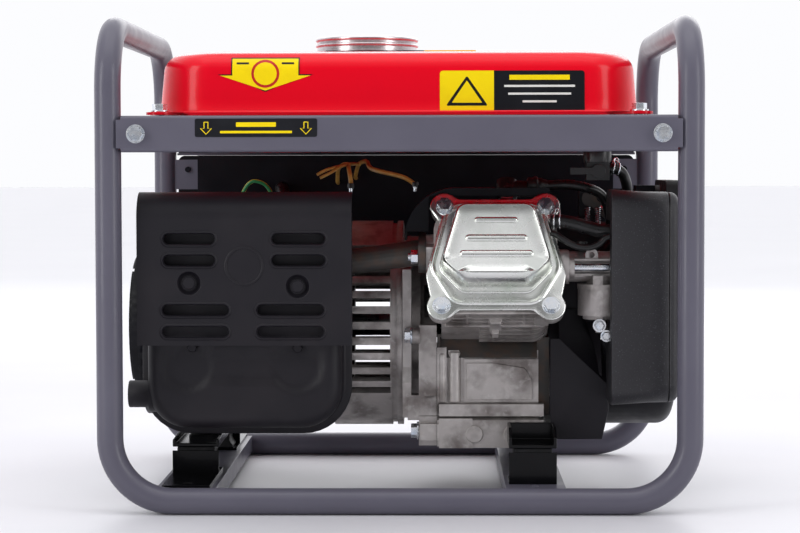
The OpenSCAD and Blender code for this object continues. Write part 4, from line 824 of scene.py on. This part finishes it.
def flange_rim(grow, height):
    ears = [arc(bolt, 11.5 + grow, 0, 348, 29) for bolt in COVER_BOLTS]
    return cover_ring([soft_corners(FLANGE, 8, grow), *ears], COVER_SEAT + height)


def valve_cover():
    rings = [flange_rim(g, h) for g, h in ((-0.6, 0), (0, 0.5), (0, 1.5), (-0.4, 2), (-1.2, 2.2))]
    rings += [cover_ring([soft_corners(CHANNEL, 13, g)], COVER_SEAT + h) for g, h in (
        (3.1, 2.2), (2.6, 2.6), (1.9, 3.2), (1.1, 3.3), (0.5, 2.9), (0.1, 2.2), (-0.5, 1.3), (-1.2, 1.1))]
    foot = [cover_ring([soft_corners(DOME_FOOT, 9, g)], COVER_SEAT + h) for g,
            h in ((1.4, 1.1), (0.6, 1.3), (0, 2.2))]
    rings += foot
    face = cover_ring([soft_corners(DOME_FACE, 8)], COVER_SEAT)
    lift = Vector(on_cylinder(0, 0, 1)) - Vector(on_cylinder(0, 0, 0))
    base = [Vector(p) - lift * 2.2 for p in foot[-1]]
    for share, height in ((0.06, 6), (0.12, 11), (0.2, 15.5), (0.3, 19), (0.42, 21.7), (0.58, 23.8),
                          (0.78, 25.2), (0.92, 25.7), (1.05, 25.8), (1.15, 25.5)):
        rings.append([tuple(a + (Vector(b) - a) * share + lift * height) for a, b in zip(base, face)])
    middle = [on_cylinder(*COVER_MIDDLE, COVER_SEAT + 25.3)] * len(face)
    last = rings[-1]
    rings += [blend_rings(last, middle, s) for s in (0.3, 0.6, 0.85)]
    shape = Shape().loft(rings)
    for v, half, r in RIBS:
        steps = ((0, 24.9), (-0.4, 26.2), (-1.1, 26.9), (-2, 27.2))
        shape.loft([[on_cylinder(a, b, COVER_SEAT + h) for a, b in stadium((0, v), half + grow, r + grow)]
                    for grow, h in steps])
    shape.piece("valve_cover_pressing", "pressed_zinc", replaces=["valve_cover"], sharp=50)


# ---------------- air cleaner

AIR_Y, AIR_Z = -116, 162.5
AIR_JOINT = 207


def air_ring(x, half_y, half_z, radius, drop=0.0):
    """A section of the air cleaner; its top edge falls by drop."""
    outline = rounded_rectangle(half_y, half_z, radius, (AIR_Y, AIR_Z), steps=8, side_steps=6)
    top = AIR_Z + half_z
    return [(x, y, z - drop * smoothstep((z - AIR_Z) / (top - AIR_Z))) for y, z in outline]


def air_cleaner():
    left = node_box("air_cleaner_base")[0][0]
    right = node_box("air_cleaner_cover")[1][0]
    rings = [air_ring(left, 28.6, 82.1, 12.6), air_ring(left + 0.4, 29.6, 83.1, 13.6),
             air_ring(left + 1.4, 30, 83.5, 14),
             air_ring(191, 29.6, 81.6, 14), air_ring(AIR_JOINT - 0.9, 29.2, 81.4, 15),
             air_ring(AIR_JOINT - 0.3, 28.8, 81, 14.5), air_ring(AIR_JOINT - 0.3, 27.6, 79.2, 12),
             air_ring(188, 27.6, 79.2, 12)]
    base = Shape().loft(rings).piece(
        "air_cleaner_case", "grained_plastic", replaces=["air_cleaner_base"], sharp=40)
    cutter = Shape().box((left - 5, -129.5, 126), (184.5, -70, 222)).piece("pocket", "grained_plastic")
    cut = base.modifiers.new("pocket", "BOOLEAN")
    cut.operation = "DIFFERENCE"
    cut.solver = "EXACT"
    cut.object = cutter
    bake_modifiers(base)
    bpy.data.objects.remove(cutter)
    stud = Shape().disc(2.5, 187, 214, (-116, 128), at_x, 24)
    for y in (-93, -125):
        stud.disc(5, 183, 191, (y, 185.5), at_x, 6)
    stud.piece("air_cleaner_stud", "zinc", bevel=0.2)

    start = AIR_JOINT + 0.3
    rings = [air_ring(start, 27.5, 79, 12), air_ring(start, 28.8, 81, 14.5),
             air_ring(start + 0.6, 29.2, 81.4, 15)]
    for a in range(0, 91, 15):
        s, c = math.sin(math.radians(a)), math.cos(math.radians(a))
        rings.append(
            air_ring(right - 7.4 + 7 * s, 29.1 - 7 * (1 - c), 81.4 - 7 * (1 - c), 15 - 6 * (1 - c)))
    rings += [air_ring(right - 0.4, 19, 71, 9), air_ring(right, 18.4, 70.4, 8.6),
              air_ring(right, 10, 60, 5)]
    shape = Shape().loft(rings)
    shape.prism(rounded_rectangle(4.2, 36.5, 2.5, (AIR_Y - 22.6, 169.5)), right - 6, right - 1.6, at_x)
    for k in range(6):
        z = 100 + 25 * k
        shape.prism([(AIR_Y - 13, z), (AIR_Y + 13, z), (AIR_Y + 13, z + 3), (AIR_Y - 13, z + 3)],
                    right - 2, right - 0.02, at_x)
    shape.piece("air_cleaner_lid", "grained_plastic", "air_cleaner_cover", ["air_cleaner_cover"], sharp=40)


def bake_modifiers(thing):
    """Applies a piece's modifiers to its mesh."""
    bpy.context.view_layer.update()
    graph = bpy.context.evaluated_depsgraph_get()
    mesh = bpy.data.meshes.new_from_object(thing.evaluated_get(graph))
    thing.modifiers.clear()
    thing.data = mesh


# ---------------- hoses, leads and wires

BREATHER = ((117.2, -124, 221), (124, -125, 221.4), (134, -126, 219.6), (145, -127, 216.5),
            (154, -128, 214.3), (162.3, -128, 214))
VENT = ((117, -131, 212.5), (121, -133, 211), (126, -135, 207.5), (132, -136, 204), (139, -137, 201.6),
        (147, -138, 201.6), (154, -138, 204.5), (158, -138, 208.4), (161.6, -138, 209.8))
FUEL_LINE = ((165.2, -95, 262), (170, -95, 261.7), (175, -92, 258.5), (178, -86, 253), (180, -81, 245),
             (180, -80, 232), (176, -79, 216), (168, -80, 203), (161, -83, 195), (158, -85, 189),
             (158, -85, 181.9))
IGNITION = ((114.4, -83, 248.5), (121, -83, 249), (132, -84, 249.5), (145, -83, 247.5), (157, -80, 243),
            (163, -77, 236), (166, -74, 226), (168.5, -68.5, 212), (169, -64, 200), (169, -62, 188))
BROWN = (
    ((-60, 129.6, 250), (-60, 120, 252), (-58, 95, 262), (-52, 60, 266), (-46, 20, 266), (-44, -30, 264),
     (-42, -52, 258), (-41, -56, 251), (-41, -57, 248)),
    ((-44, 129.6, 254), (-44, 118, 256), (-40, 90, 266), (-34, 50, 268.5), (-30, 10, 268), (-24, -30, 262),
     (0, -52, 256), (9, -56, 251), (11, -57, 249)),
)
EARTH = ((-150, 129.6, 205), (-150, 118, 206), (-148, 100, 218), (-142, 88, 240), (-134, 84, 251),
         (-124, 84, 250), (-118, 86, 244), (-116, 88, 238))
CONDUIT = ((-110, 129.6, 245), (-110, 122, 245), (-108, 110, 243), (-106, 98, 238), (-104, 90, 230))


def spring_clip(shape, route, radius, at, width=4.5, skin=0):
    """A wire clip round a hose, at a share of its length."""
    path = smooth_path(route, 8)
    k = max(1, min(len(path) - 2, round(at * (len(path) - 1))))
    centre, along = path[k], (path[k + 1] - path[k - 1]).normalized()
    side = along.orthogonal().normalized()
    other = along.cross(side)
    for shift in (-width / 2, width / 2):
        ring = [centre + along * shift + (radius + 0.6) * (math.cos(a) * side + math.sin(a) * other)
                for a in (2 * math.pi * i / 24 for i in range(23))]
        shape.tube(ring, 0.65, 8, [skin])
    for a in (0.0, 0.35):
        tab = centre + (radius + 0.5) * (math.cos(a) * side + math.sin(a) * other)
        out = (math.cos(a) * side + math.sin(a) * other)
        shape.tube([tab - along * width / 2, tab + out * 4 - along * width / 3, tab + out * 5,
                    tab + out * 4 + along * width / 3, tab + along * width / 2], 0.65, 8, [skin])


def hoses():
    hose = Shape().tube(smooth_path(BREATHER, 8), 5.4, 20)
    hose.tube(smooth_path(VENT, 8), 2.5, 12)
    hose.piece("breather_lines", "hose_rubber", replaces=["breather_hose"], sharp=60)
    Shape().tube(smooth_path(FUEL_LINE, 8), 4.2, 18).piece("fuel_line", "hose_rubber",
                                                           replaces=["fuel_hose"], sharp=60)
    Shape().tube(smooth_path(IGNITION, 8), 3.9, 18).piece(
        "plug_lead", "hose_rubber", replaces=["ignition_lead"], sharp=60)
    clips = Shape()
    for route, radius, at in ((FUEL_LINE, 4.2, 0.09), (FUEL_LINE, 4.2, 0.93), (BREATHER, 5.4, 0.14)):
        spring_clip(clips, route, radius, at)
    clips.piece("hose_clips", "zinc", sharp=60)


def wires():
    loom = Shape()
    for route in BROWN:
        loom.tube(smooth_path(route, 6), 1.8, 10, [0])
        end = Vector(route[-1])
        loom.tube([end + Vector((0, 0.2, 2.6)), end + Vector((0, 0, 0.4)), end + Vector((0, -0.4, -1.6))],
                  [2.5, 2.7, 2.3], 10, [4])
        loom.tube([end + Vector((0, -0.4, -1.4)), end + Vector((0, -0.6, -5))], [1.7, 1.5], 8, [3])
    for shift in (0, 2.6):
        branch = [(-38 - shift, 20, 266.5), (-44 - shift, -20, 266), (-50 - shift, -42, 264),
                  (-58 - shift, -52, 259 + shift), (-66 - shift, -54, 255 + shift)]
        loom.tube(smooth_path(branch, 6), 1.3, 8, [0])
    loom.tube(smooth_path(EARTH, 8), 1.6, 12, [1, 1, 1, 2, 2, 1, 1, 1, 1, 2, 2, 1])
    path = smooth_path(CONDUIT, 14)
    loom.tube(path, [6.0 if k % 4 < 2 else 5.0 for k in range(len(path))], 20, [4])
    for a, b in (((-104, 92, 232), (-112, 60, 205)), ((-102, 92, 232), (-88, 62, 205))):
        mid = (Vector(a) + Vector(b)) / 2 + Vector((0, 0, -4))
        loom.tube(smooth_path([a, mid, b], 8), 2.2, 10, [4])
    loom.piece("wiring_loom", ["brown_wire", "green_wire", "yellow_wire", "zinc", "hose_rubber"],
               replaces=["wiring"], sharp=60)


# ---------------- labels: plain patches, with no lettering

def tank_side(u, v, w):
    """A point on the tank's near wall: u and v are X and Z, w stands off it."""
    rise = min(v - node_box("tank_upper_shell")[0][2], TANK_SHOULDER)
    return (u, -TANK_HALF[1] + tank_inset(rise) - w, v)


def wrapped_patch(shape, outline_rows, stand, skin):
    """A label that follows the tank wall: rows of (z, left, right), with its back just inside the wall."""
    columns = 10
    grids = []
    for w in (stand, -0.3):
        grids.append([shape.ring([tank_side(left + (right - left) * k / columns, z, w)
                                  for k in range(columns + 1)]) for z, left, right in outline_rows])
    for grid in grids:
        for a, b in zip(grid, grid[1:]):
            shape.skin_between(a, b, closed=False, skin=skin)
    front, back = grids
    for k in (0, columns):
        shape.skin_between([r[k] for r in front], [r[k] for r in back], closed=False, skin=skin)
    shape.skin_between(front[0], back[0], closed=False, skin=skin)
    shape.skin_between(front[-1], back[-1], closed=False, skin=skin)


def rounded_rows(x0, x1, z0, z1, r, left=True, right=True, steps=5, rows=8):
    """Rows of a rectangle with round corners, for wrapped_patch()."""
    made = []
    heights = ([z0 + r - r * math.cos(math.radians(90 * k / steps)) for k in range(steps + 1)]
               + [z0 + r + (z1 - z0 - 2 * r) * k / rows for k in range(1, rows)]
               + [z1 - r + r * math.sin(math.radians(90 * k / steps)) for k in range(steps + 1)])
    for z in heights:
        near = min(z - z0, z1 - z)
        pull = r - math.sqrt(max(0.0, r * r - (r - min(r, near)) ** 2))
        made.append((z, x0 + (pull if left else 0), x1 - (pull if right else 0)))
    return made


def circle_rows(u, v, r, steps=10):
    """Rows of a disc, for wrapped_patch()."""
    angles = [math.radians(-84 + 168 * k / steps) for k in range(steps + 1)]
    return [(v + r * math.sin(a), u - r * math.cos(a), u + r * math.cos(a)) for a in angles]


def labels():
    warning = Shape()
    wrapped_patch(warning, rounded_rows(30.9, 72.2, 305.1, 337.1, 2.5, right=False), 0.35, 0)
    wrapped_patch(warning, rounded_rows(72.2, 141.4, 305.1, 337.1, 2.5, left=False), 0.35, 1)
    wrapped_patch(warning, [(330, 84, 130), (333.8, 84, 130)], 0.45, 0)
    for x0, x1, z in ((80, 134, 324.5), (83, 131, 318.6), (94, 120, 312.7)):
        wrapped_patch(warning, [(z, x0, x1), (z + 1.6, x0, x1)], 0.45, 2)
    wrapped_patch(warning, [(310.3, 36.5, 66.6), (311.3, 36.2, 66.9), (332.4, 50.9, 52.2)], 0.4, 1)
    wrapped_patch(warning, [(312.6, 40.2, 62.9), (313, 40.2, 62.9), (329.4, 51.4, 51.7)], 0.48, 0)
    warning.piece("tank_label_right", ["yellow_label", "black_label", "meter_face"], sharp=30)

    middle = -102.6
    arrow = Shape()
    for grow, stand, skin in ((0.9, 0.3, 1), (0, 0.42, 0)):
        body = [(z, middle - 25.3 - grow, middle + 25.3 + grow)
                for z in (333.7, 338, 342, 345, 346.8 + grow)]
        wrapped_patch(arrow, body, stand, skin)
        tip = [(322.3 - grow, middle - 0.4, middle + 0.4), (325, middle - 8.2, middle + 8.2),
               (329, middle - 20.2, middle + 20.2),
               (333.8 + grow, middle - 34.7 - 2 * grow, middle + 34.7 + 2 * grow)]
        wrapped_patch(arrow, tip, stand - 0.02, skin)
    wrapped_patch(arrow, circle_rows(middle, 335.2, 10.8), 0.5, 2)
    wrapped_patch(arrow, circle_rows(middle, 335.2, 8.8), 0.58, 0)
    for left in (middle - 22, middle + 12.6):
        wrapped_patch(arrow, [(342.4, left, left + 9.4), (343.9, left, left + 9.4)], 0.52, 1)
    arrow.piece("tank_label_left", ["yellow_label", "black_label", "red_plastic"], sharp=30)

    rail_y = node_box("tank_rail_near")[0][1]
    u0, v0 = -107, 293.2
    plate = Shape().prism(rounded_rectangle(45.9, 6.9, 1.5, (u0, v0)), rail_y - 0.3, rail_y + 0.1, at_y)
    for side in (-1, 1):
        u = u0 + side * 37.5
        head = [(u - 1.5, v0 + 4.2), (u - 1.5, v0 - 0.4), (u - 4.2, v0 - 0.4), (u, v0 - 4.8),
                (u + 4.2, v0 - 0.4), (u + 1.5, v0 - 0.4), (u + 1.5, v0 + 4.2), (u - 1.5, v0 + 4.2)]
        plate.tube([at_y(*p, rail_y - 0.32) for p in head], 0.42, 6, [1])
    plate.prism(rounded_rectangle(15, 1.7, 0.6, (u0, v0 + 2.4)), rail_y - 0.42, rail_y - 0.2, at_y, skin=1)
    plate.prism(rounded_rectangle(27, 0.9, 0.4, (u0, v0 - 3.2)), rail_y - 0.42, rail_y - 0.2, at_y, skin=1)
    plate.piece("rail_label", ["black_label", "yellow_label"], sharp=30)

    top = node_box("tank_upper_shell")[0][2] + TANK_CROWN
    sheet = Shape()
    for u, half, skin in ((-20, 38.6, 1), (38.8, 20.5, 0)):
        sheet.prism(rounded_rectangle(half, 12, 2, (u, -96)), top - 1.2, top + 0.35, at_z, skin=skin)
    sheet.piece("tank_label_top", ["yellow_label", "black_label"], sharp=30)


# ---------------- blower housing's lower plate

def shroud_plate():
    """A folded sheet below the carburettor; its crease runs down to the right."""
    y = -99.5
    front = [(118.2, 49), (158.5, 49), (163.5, 72), (164, 91), (125, 128), (118.2, 128)]
    back = [(125, 128), (164, 91), (161, 124), (140, 150), (125, 150)]
    shape = Shape()
    shape.prism(front, y, y + 1.2, at_y)
    depth = [0, 0, 26, 22, 14]
    near = shape.ring([at_y(u, v, y + 0.2 + d) for (u, v), d in zip(back, depth)])
    far = shape.ring([at_y(u, v, y + 1.4 + d) for (u, v), d in zip(back, depth)])
    shape.face(near)
    shape.face(reversed(far))
    shape.skin_between(near, far)
    edge = [(118.2, 49), (158.5, 49), (163.5, 72), (164, 91)]
    shape.tube([at_y(u, v, y + 0.6) for u, v in edge], 0.95, 8)
    shape.piece("shroud_lower_plate", "muffler_black", sharp=20, bevel=0.3)


# ---------------- control panel dressing, far side

PANEL_Y = 172.2
METER = (-140, 222)


def panel_dressing():
    face = PANEL_Y + 0.02
    meter = Shape()
    meter.disc(19.8, face + 1.4, face + 2.2, METER, at_y, 48)
    for k in range(11):
        a = math.radians(210 - 24 * k)
        inner, outer = (13, 16.5) if k % 5 else (11.5, 17)
        ends = [(METER[0] + r * math.cos(a), METER[1] + r * math.sin(a), face + 2.25)
                for r in (inner, outer)]
        meter.tube([at_y(*p) for p in ends], 0.35, 6, [1])
    meter.tube([at_y(*METER, face + 2.9), at_y(METER[0] + 12, METER[1] + 11, face + 2.9)], 0.4, 6, [2])
    hub = [(0, face + 2.2), (2.6, face + 2.2), (2.2, face + 3.6), (0, face + 3.6)]
    meter.revolve(hub, METER, at_y, 20, skin=1)
    meter.piece("meter_dial", ["meter_face", "black_label", "red_plastic"], sharp=35)

    trim = Shape()
    for u, v, half_u, half_v in ((-70, 253, 20, 3), (10, 253, 20, 3), (60, 236, 9, 2), (115, 250, 12, 2.4),
                                 (160, 216, 16, 2), (-140, 186, 20, 3)):
        trim.prism(rounded_rectangle(half_u, half_v, 0.8, (u, v)), face, face + 0.25, at_y)
    trim.piece("panel_marks", "meter_face", sharp=35)

    knobs = Shape()
    for u, skin in ((150, 0), (170, 1)):
        flutes = [(7.6 + 0.7 * math.cos(8 * math.radians(a))) for a in range(0, 360, 6)]
        ring = [(u + f * math.cos(math.radians(a)), 200 + f * math.sin(math.radians(a)))
                for f, a in zip(flutes, range(0, 360, 6))]
        small = [(u + (x - u) * 0.86, 200 + (z - 200) * 0.86) for x, z in ring]
        knobs.loft([[at_y(a, b, face + 3) for a, b in small], [at_y(a, b, face + 4) for a, b in ring],
                    [at_y(a, b, face + 11) for a, b in ring], [at_y(a, b, face + 12.6) for a, b in small]],
                    skin=skin)
        knobs.revolve([(0, face + 2), (2.4, face + 2), (2.4, face + 15.5), (2, face + 16), (0, face + 16)],
                      (u, 200), at_y, 24, skin=2)
    knobs.piece("panel_terminals", ["red_plastic", "smooth_plastic", "zinc"], sharp=30)

    slots = Shape()
    for u in (-70, 10):
        slots.revolve([(20.5, face + 2.8), (24.2, face + 2.8), (24.5, face + 3.6), (23.6, face + 4.6),
                       (21.6, face + 4.6), (20.5, face + 3.8)], (u, 218), at_y, 48)
        for side in (-1, 1):
            pin = rounded_rectangle(1.6, 5, 0.8, (u + side * 7, 221))
            slots.prism(pin, face - 12.3, face - 11.7, at_y, skin=1)
        slots.prism(rounded_rectangle(2.6, 2.6, 2.5, (u, 208)), face - 12.3, face - 11.7, at_y, skin=1)
    slots.piece("socket_rims", ["smooth_plastic", "zinc"], sharp=35)


# ---------------- small engine fittings

def carburettor_dressing():
    """The throttle's springs and link, the fuel cut-off screw and the clamp on the insulator."""
    parts = Shape()
    link = smooth_path([(156, -58, 236), (161, -64, 231), (166, -70, 224), (169.6, -74, 218)], 5)
    parts.tube(link, 1.1, 8, [0])
    for x, z0, z1, y in ((149.5, 219, 231, -66), (157.5, 217, 231, -68)):
        coil = []
        turns, steps = 9, 10
        for k in range(turns * steps + 1):
            a = 2 * math.pi * k / steps
            coil.append((x + 2.1 * math.cos(a), y + 2.1 * math.sin(a),
                         z0 + (z1 - z0) * k / (turns * steps)))
        parts.tube(coil, 0.45, 6, [0])
    front = node_box("carburetor")[0][1]
    for x, z, size in ((154.5, 140.5, 4.1), (160, 132.4, 3.6)):
        head = [(0, front + 3), (size, front + 3), (size, front - 0.2), (size * 0.8, front - 0.8),
                (0, front - 0.8)]
        parts.revolve(head, (x, z), at_y, 6)
        parts.disc(size + 1, front + 3, front + 2, (x, z), at_y, 24)
    parts.piece("throttle_linkage", ["zinc"], sharp=35)


def cylinder_box(shape, lo, hi, skin=0, taper=0.0):
    """A block in the cylinder's frame; taper narrows its lower face along u."""
    rings = []
    for v, pull in ((hi[1], 0), (lo[1], taper)):
        rings.append([on_cylinder(u, v, w) for u, w in (
            (lo[0] + pull, lo[2]), (hi[0] - pull, lo[2]), (hi[0] - pull, hi[2]), (lo[0] + pull, hi[2]))])
    shape.loft(rings, skin=skin)


def engine_dressing():
    """Castings on the engine's near side: the head's ribs and pockets, the case's column, and its gaskets; a
    dark iron shelf and block on the case are painted shade.
    """
    head = Shape()
    for w0, w1, v in ((137.5, 141, -47), (127, 129.5, -46.5), (113, 116.5, -48)):
        cylinder_box(head, (-41, v, w0), (40, -41, w1), taper=2)
    for u in (-40, -22, 22, 38):
        cylinder_box(head, (u - 1.6, -46.5, 114), (u + 1.6, -41, 139), taper=0.5)
    for u0, u1 in ((-36, -25), (-18, -8), (10, 19), (25, 35)):
        cylinder_box(head, (u0, -44.5, 117), (u1, -41, 126), taper=1)
    cylinder_box(head, (-7, -50, 106), (7, -41, 128), taper=3)
    cylinder_box(head, (-3.5, -53, 104), (3.5, -48, 113), taper=1)
    cylinder_box(head, (34, -34, 100), (44, -22, 116))
    head.piece("head_lower_ribs", "cast_aluminium", sharp=30, bevel=0.7)

    case = Shape()
    case.revolve([(0, 77), (5.2, 77), (5.2, 116), (4, 117.4), (0, 117.4)], (42.3, -88), at_z, 32)
    case.revolve([(0, 77), (3, 77), (3, 115), (2, 116), (0, 116)], (32.6, -91), at_z, 24)
    case.prism([(52, 79), (104, 79), (104, 95), (98, 104), (74, 108), (52, 108)], -92.6, -90, at_y)
    for x in (58, 88):
        case.revolve([(0, -99.5), (6.5, -99.5), (7, -99), (7, -96), (0, -96)], (x, 52), at_y, 32)
    case.piece("case_front_details", "cast_aluminium", sharp=30, bevel=0.8)

    # painted shade: the sloping shelf below the head's fins is dark iron, standing in for the shade there
    shelf = Shape().prism([(-92, 112.2), (-86, 123), (-82, 127), (-70, 127), (-70, 112.2)], 31, 108, at_x)
    shelf.prism([(-88, 66), (-96.5, 66), (-96.5, 74), (-88, 74)], 28.22, 28.48, at_x)
    seam = [(-60, 44), (-96.5, 47.5), (-96.5, 60), (-87, 66), (-87, 77), (-91.5, 82), (-91.5, 119),
            (-60, 122)]
    shelf.prism(seam, 28.22, 28.48, at_x)
    # painted shade: a dark iron block where the case's inset panel falls into shade at its right side
    shelf.box((107.5, -84, 66), (118, -60, 128))
    shelf.piece("engine_gaskets_and_painted_shade", "iron", sharp=30, bevel=0.1)


def boot():
    """The spark plug's rubber boot, with its grip rings and the sleeve on the lead."""
    axis_y, axis_z = -83, 248.5
    profile = [(0, 100), (5.4, 100), (6.6, 101), (6.6, 105), (7.4, 106), (7.4, 108), (6.4, 109),
               (6.4, 111.5), (5.2, 113), (4.6, 115.5), (3.95, 117), (0, 117)]
    Shape().revolve(profile, (axis_y, axis_z), at_x, 32).piece("boot_sleeve", "hose_rubber", sharp=40)


def recoil_dressing():
    """The grip's finger ridges."""
    right = node_box("recoil_handle")[1][0]
    ridges = Shape()
    for y in range(-32, 33, 8):
        if abs(y) > 6:
            ridges.tube([(right - 5.5 + 5.6 * math.cos(a), 30 + y, 239 + 12.6 * math.sin(a))
                         for a in (math.pi * (k / 12 - 0.5) for k in range(13))], 0.6, 6)
    ridges.piece("grip_ridges", "rubber", "recoil_handle", sharp=60)


# ---------------- the whole

# Finish, then each CAD node that has it with the width of its bevel
DRESSING = {
    "frame_grey": {"frame_near_half": 0, "frame_far_half": 0, "cross_member_left": 0.6,
        "cross_member_right": 0.6, "tank_rail_near": 0.5, "tank_rail_far": 0.5},
    "zinc": {"rail_and_tank_bolts": 0.25, "engine_bolts": 0.3, "spark_plug": 0.2},
    "rubber": {"rubber_mounts": 1.0, "fuel_cap_core": 0.4, "recoil_handle": 0.8},
    "gloss_black": {"mount_lower_brackets": 0.7, "engine_mount_brackets": 0.7,
        "alternator_mount_bracket": 0.7},
    "white_plastic": {"filler_strainer": 0},
    "smooth_plastic": {"fuel_tap": 0.4, "fuel_tap_lever": 0.4, "oil_dipstick": 0.5, "recoil_pulley": 0.3,
        "choke_lever": 0.4, "air_cleaner_knob": 0.5, "panel_sockets": 0.4},
    "cast_aluminium": {"crankcase": 1.0, "crankcase_side_cover": 0.9, "cylinder_head": 0.8,
        "connecting_rod": 0.4, "piston": 0.3, "flywheel_fan": 0.3, "carburetor": 0.35,
        "alternator_housing": 0.5},
    "hose_rubber": {"spark_plug_cap": 0.6},
    "raw_steel": {"crankshaft": 0.3, "main_bearings": 0.2},
    "muffler_black": {"fan_shroud": 0.6, "heat_shield_screws": 0.3},
    "black_paint": {"cylinder_cowl": 0.3, "recoil_housing": 0.4, "alternator_end_cover": 0.6,
        "control_panel": 0.5},
    "iron": {"governor_lever": 0.2, "exhaust_pipe": 0.3, "alternator_stator": 0.3},
    "foam": {"air_filter_element": 1.2},
    "copper": {"alternator_rotor": 0.3},
    "red_plastic": {"breaker_button": 0.5, "engine_switch": 0.4},
}

make_camera()
make_studio()
for finish, cad_nodes in DRESSING.items():
    for cad_node, width in cad_nodes.items():
        dress(cad_node, finish, width)
for build in (tank_upper, tank_lower, fuel_cap, muffler, heat_shield, valve_cover, air_cleaner,
              hoses, wires, labels, shroud_plate, panel_dressing, carburettor_dressing,
              engine_dressing, boot, recoil_dressing):
    build()
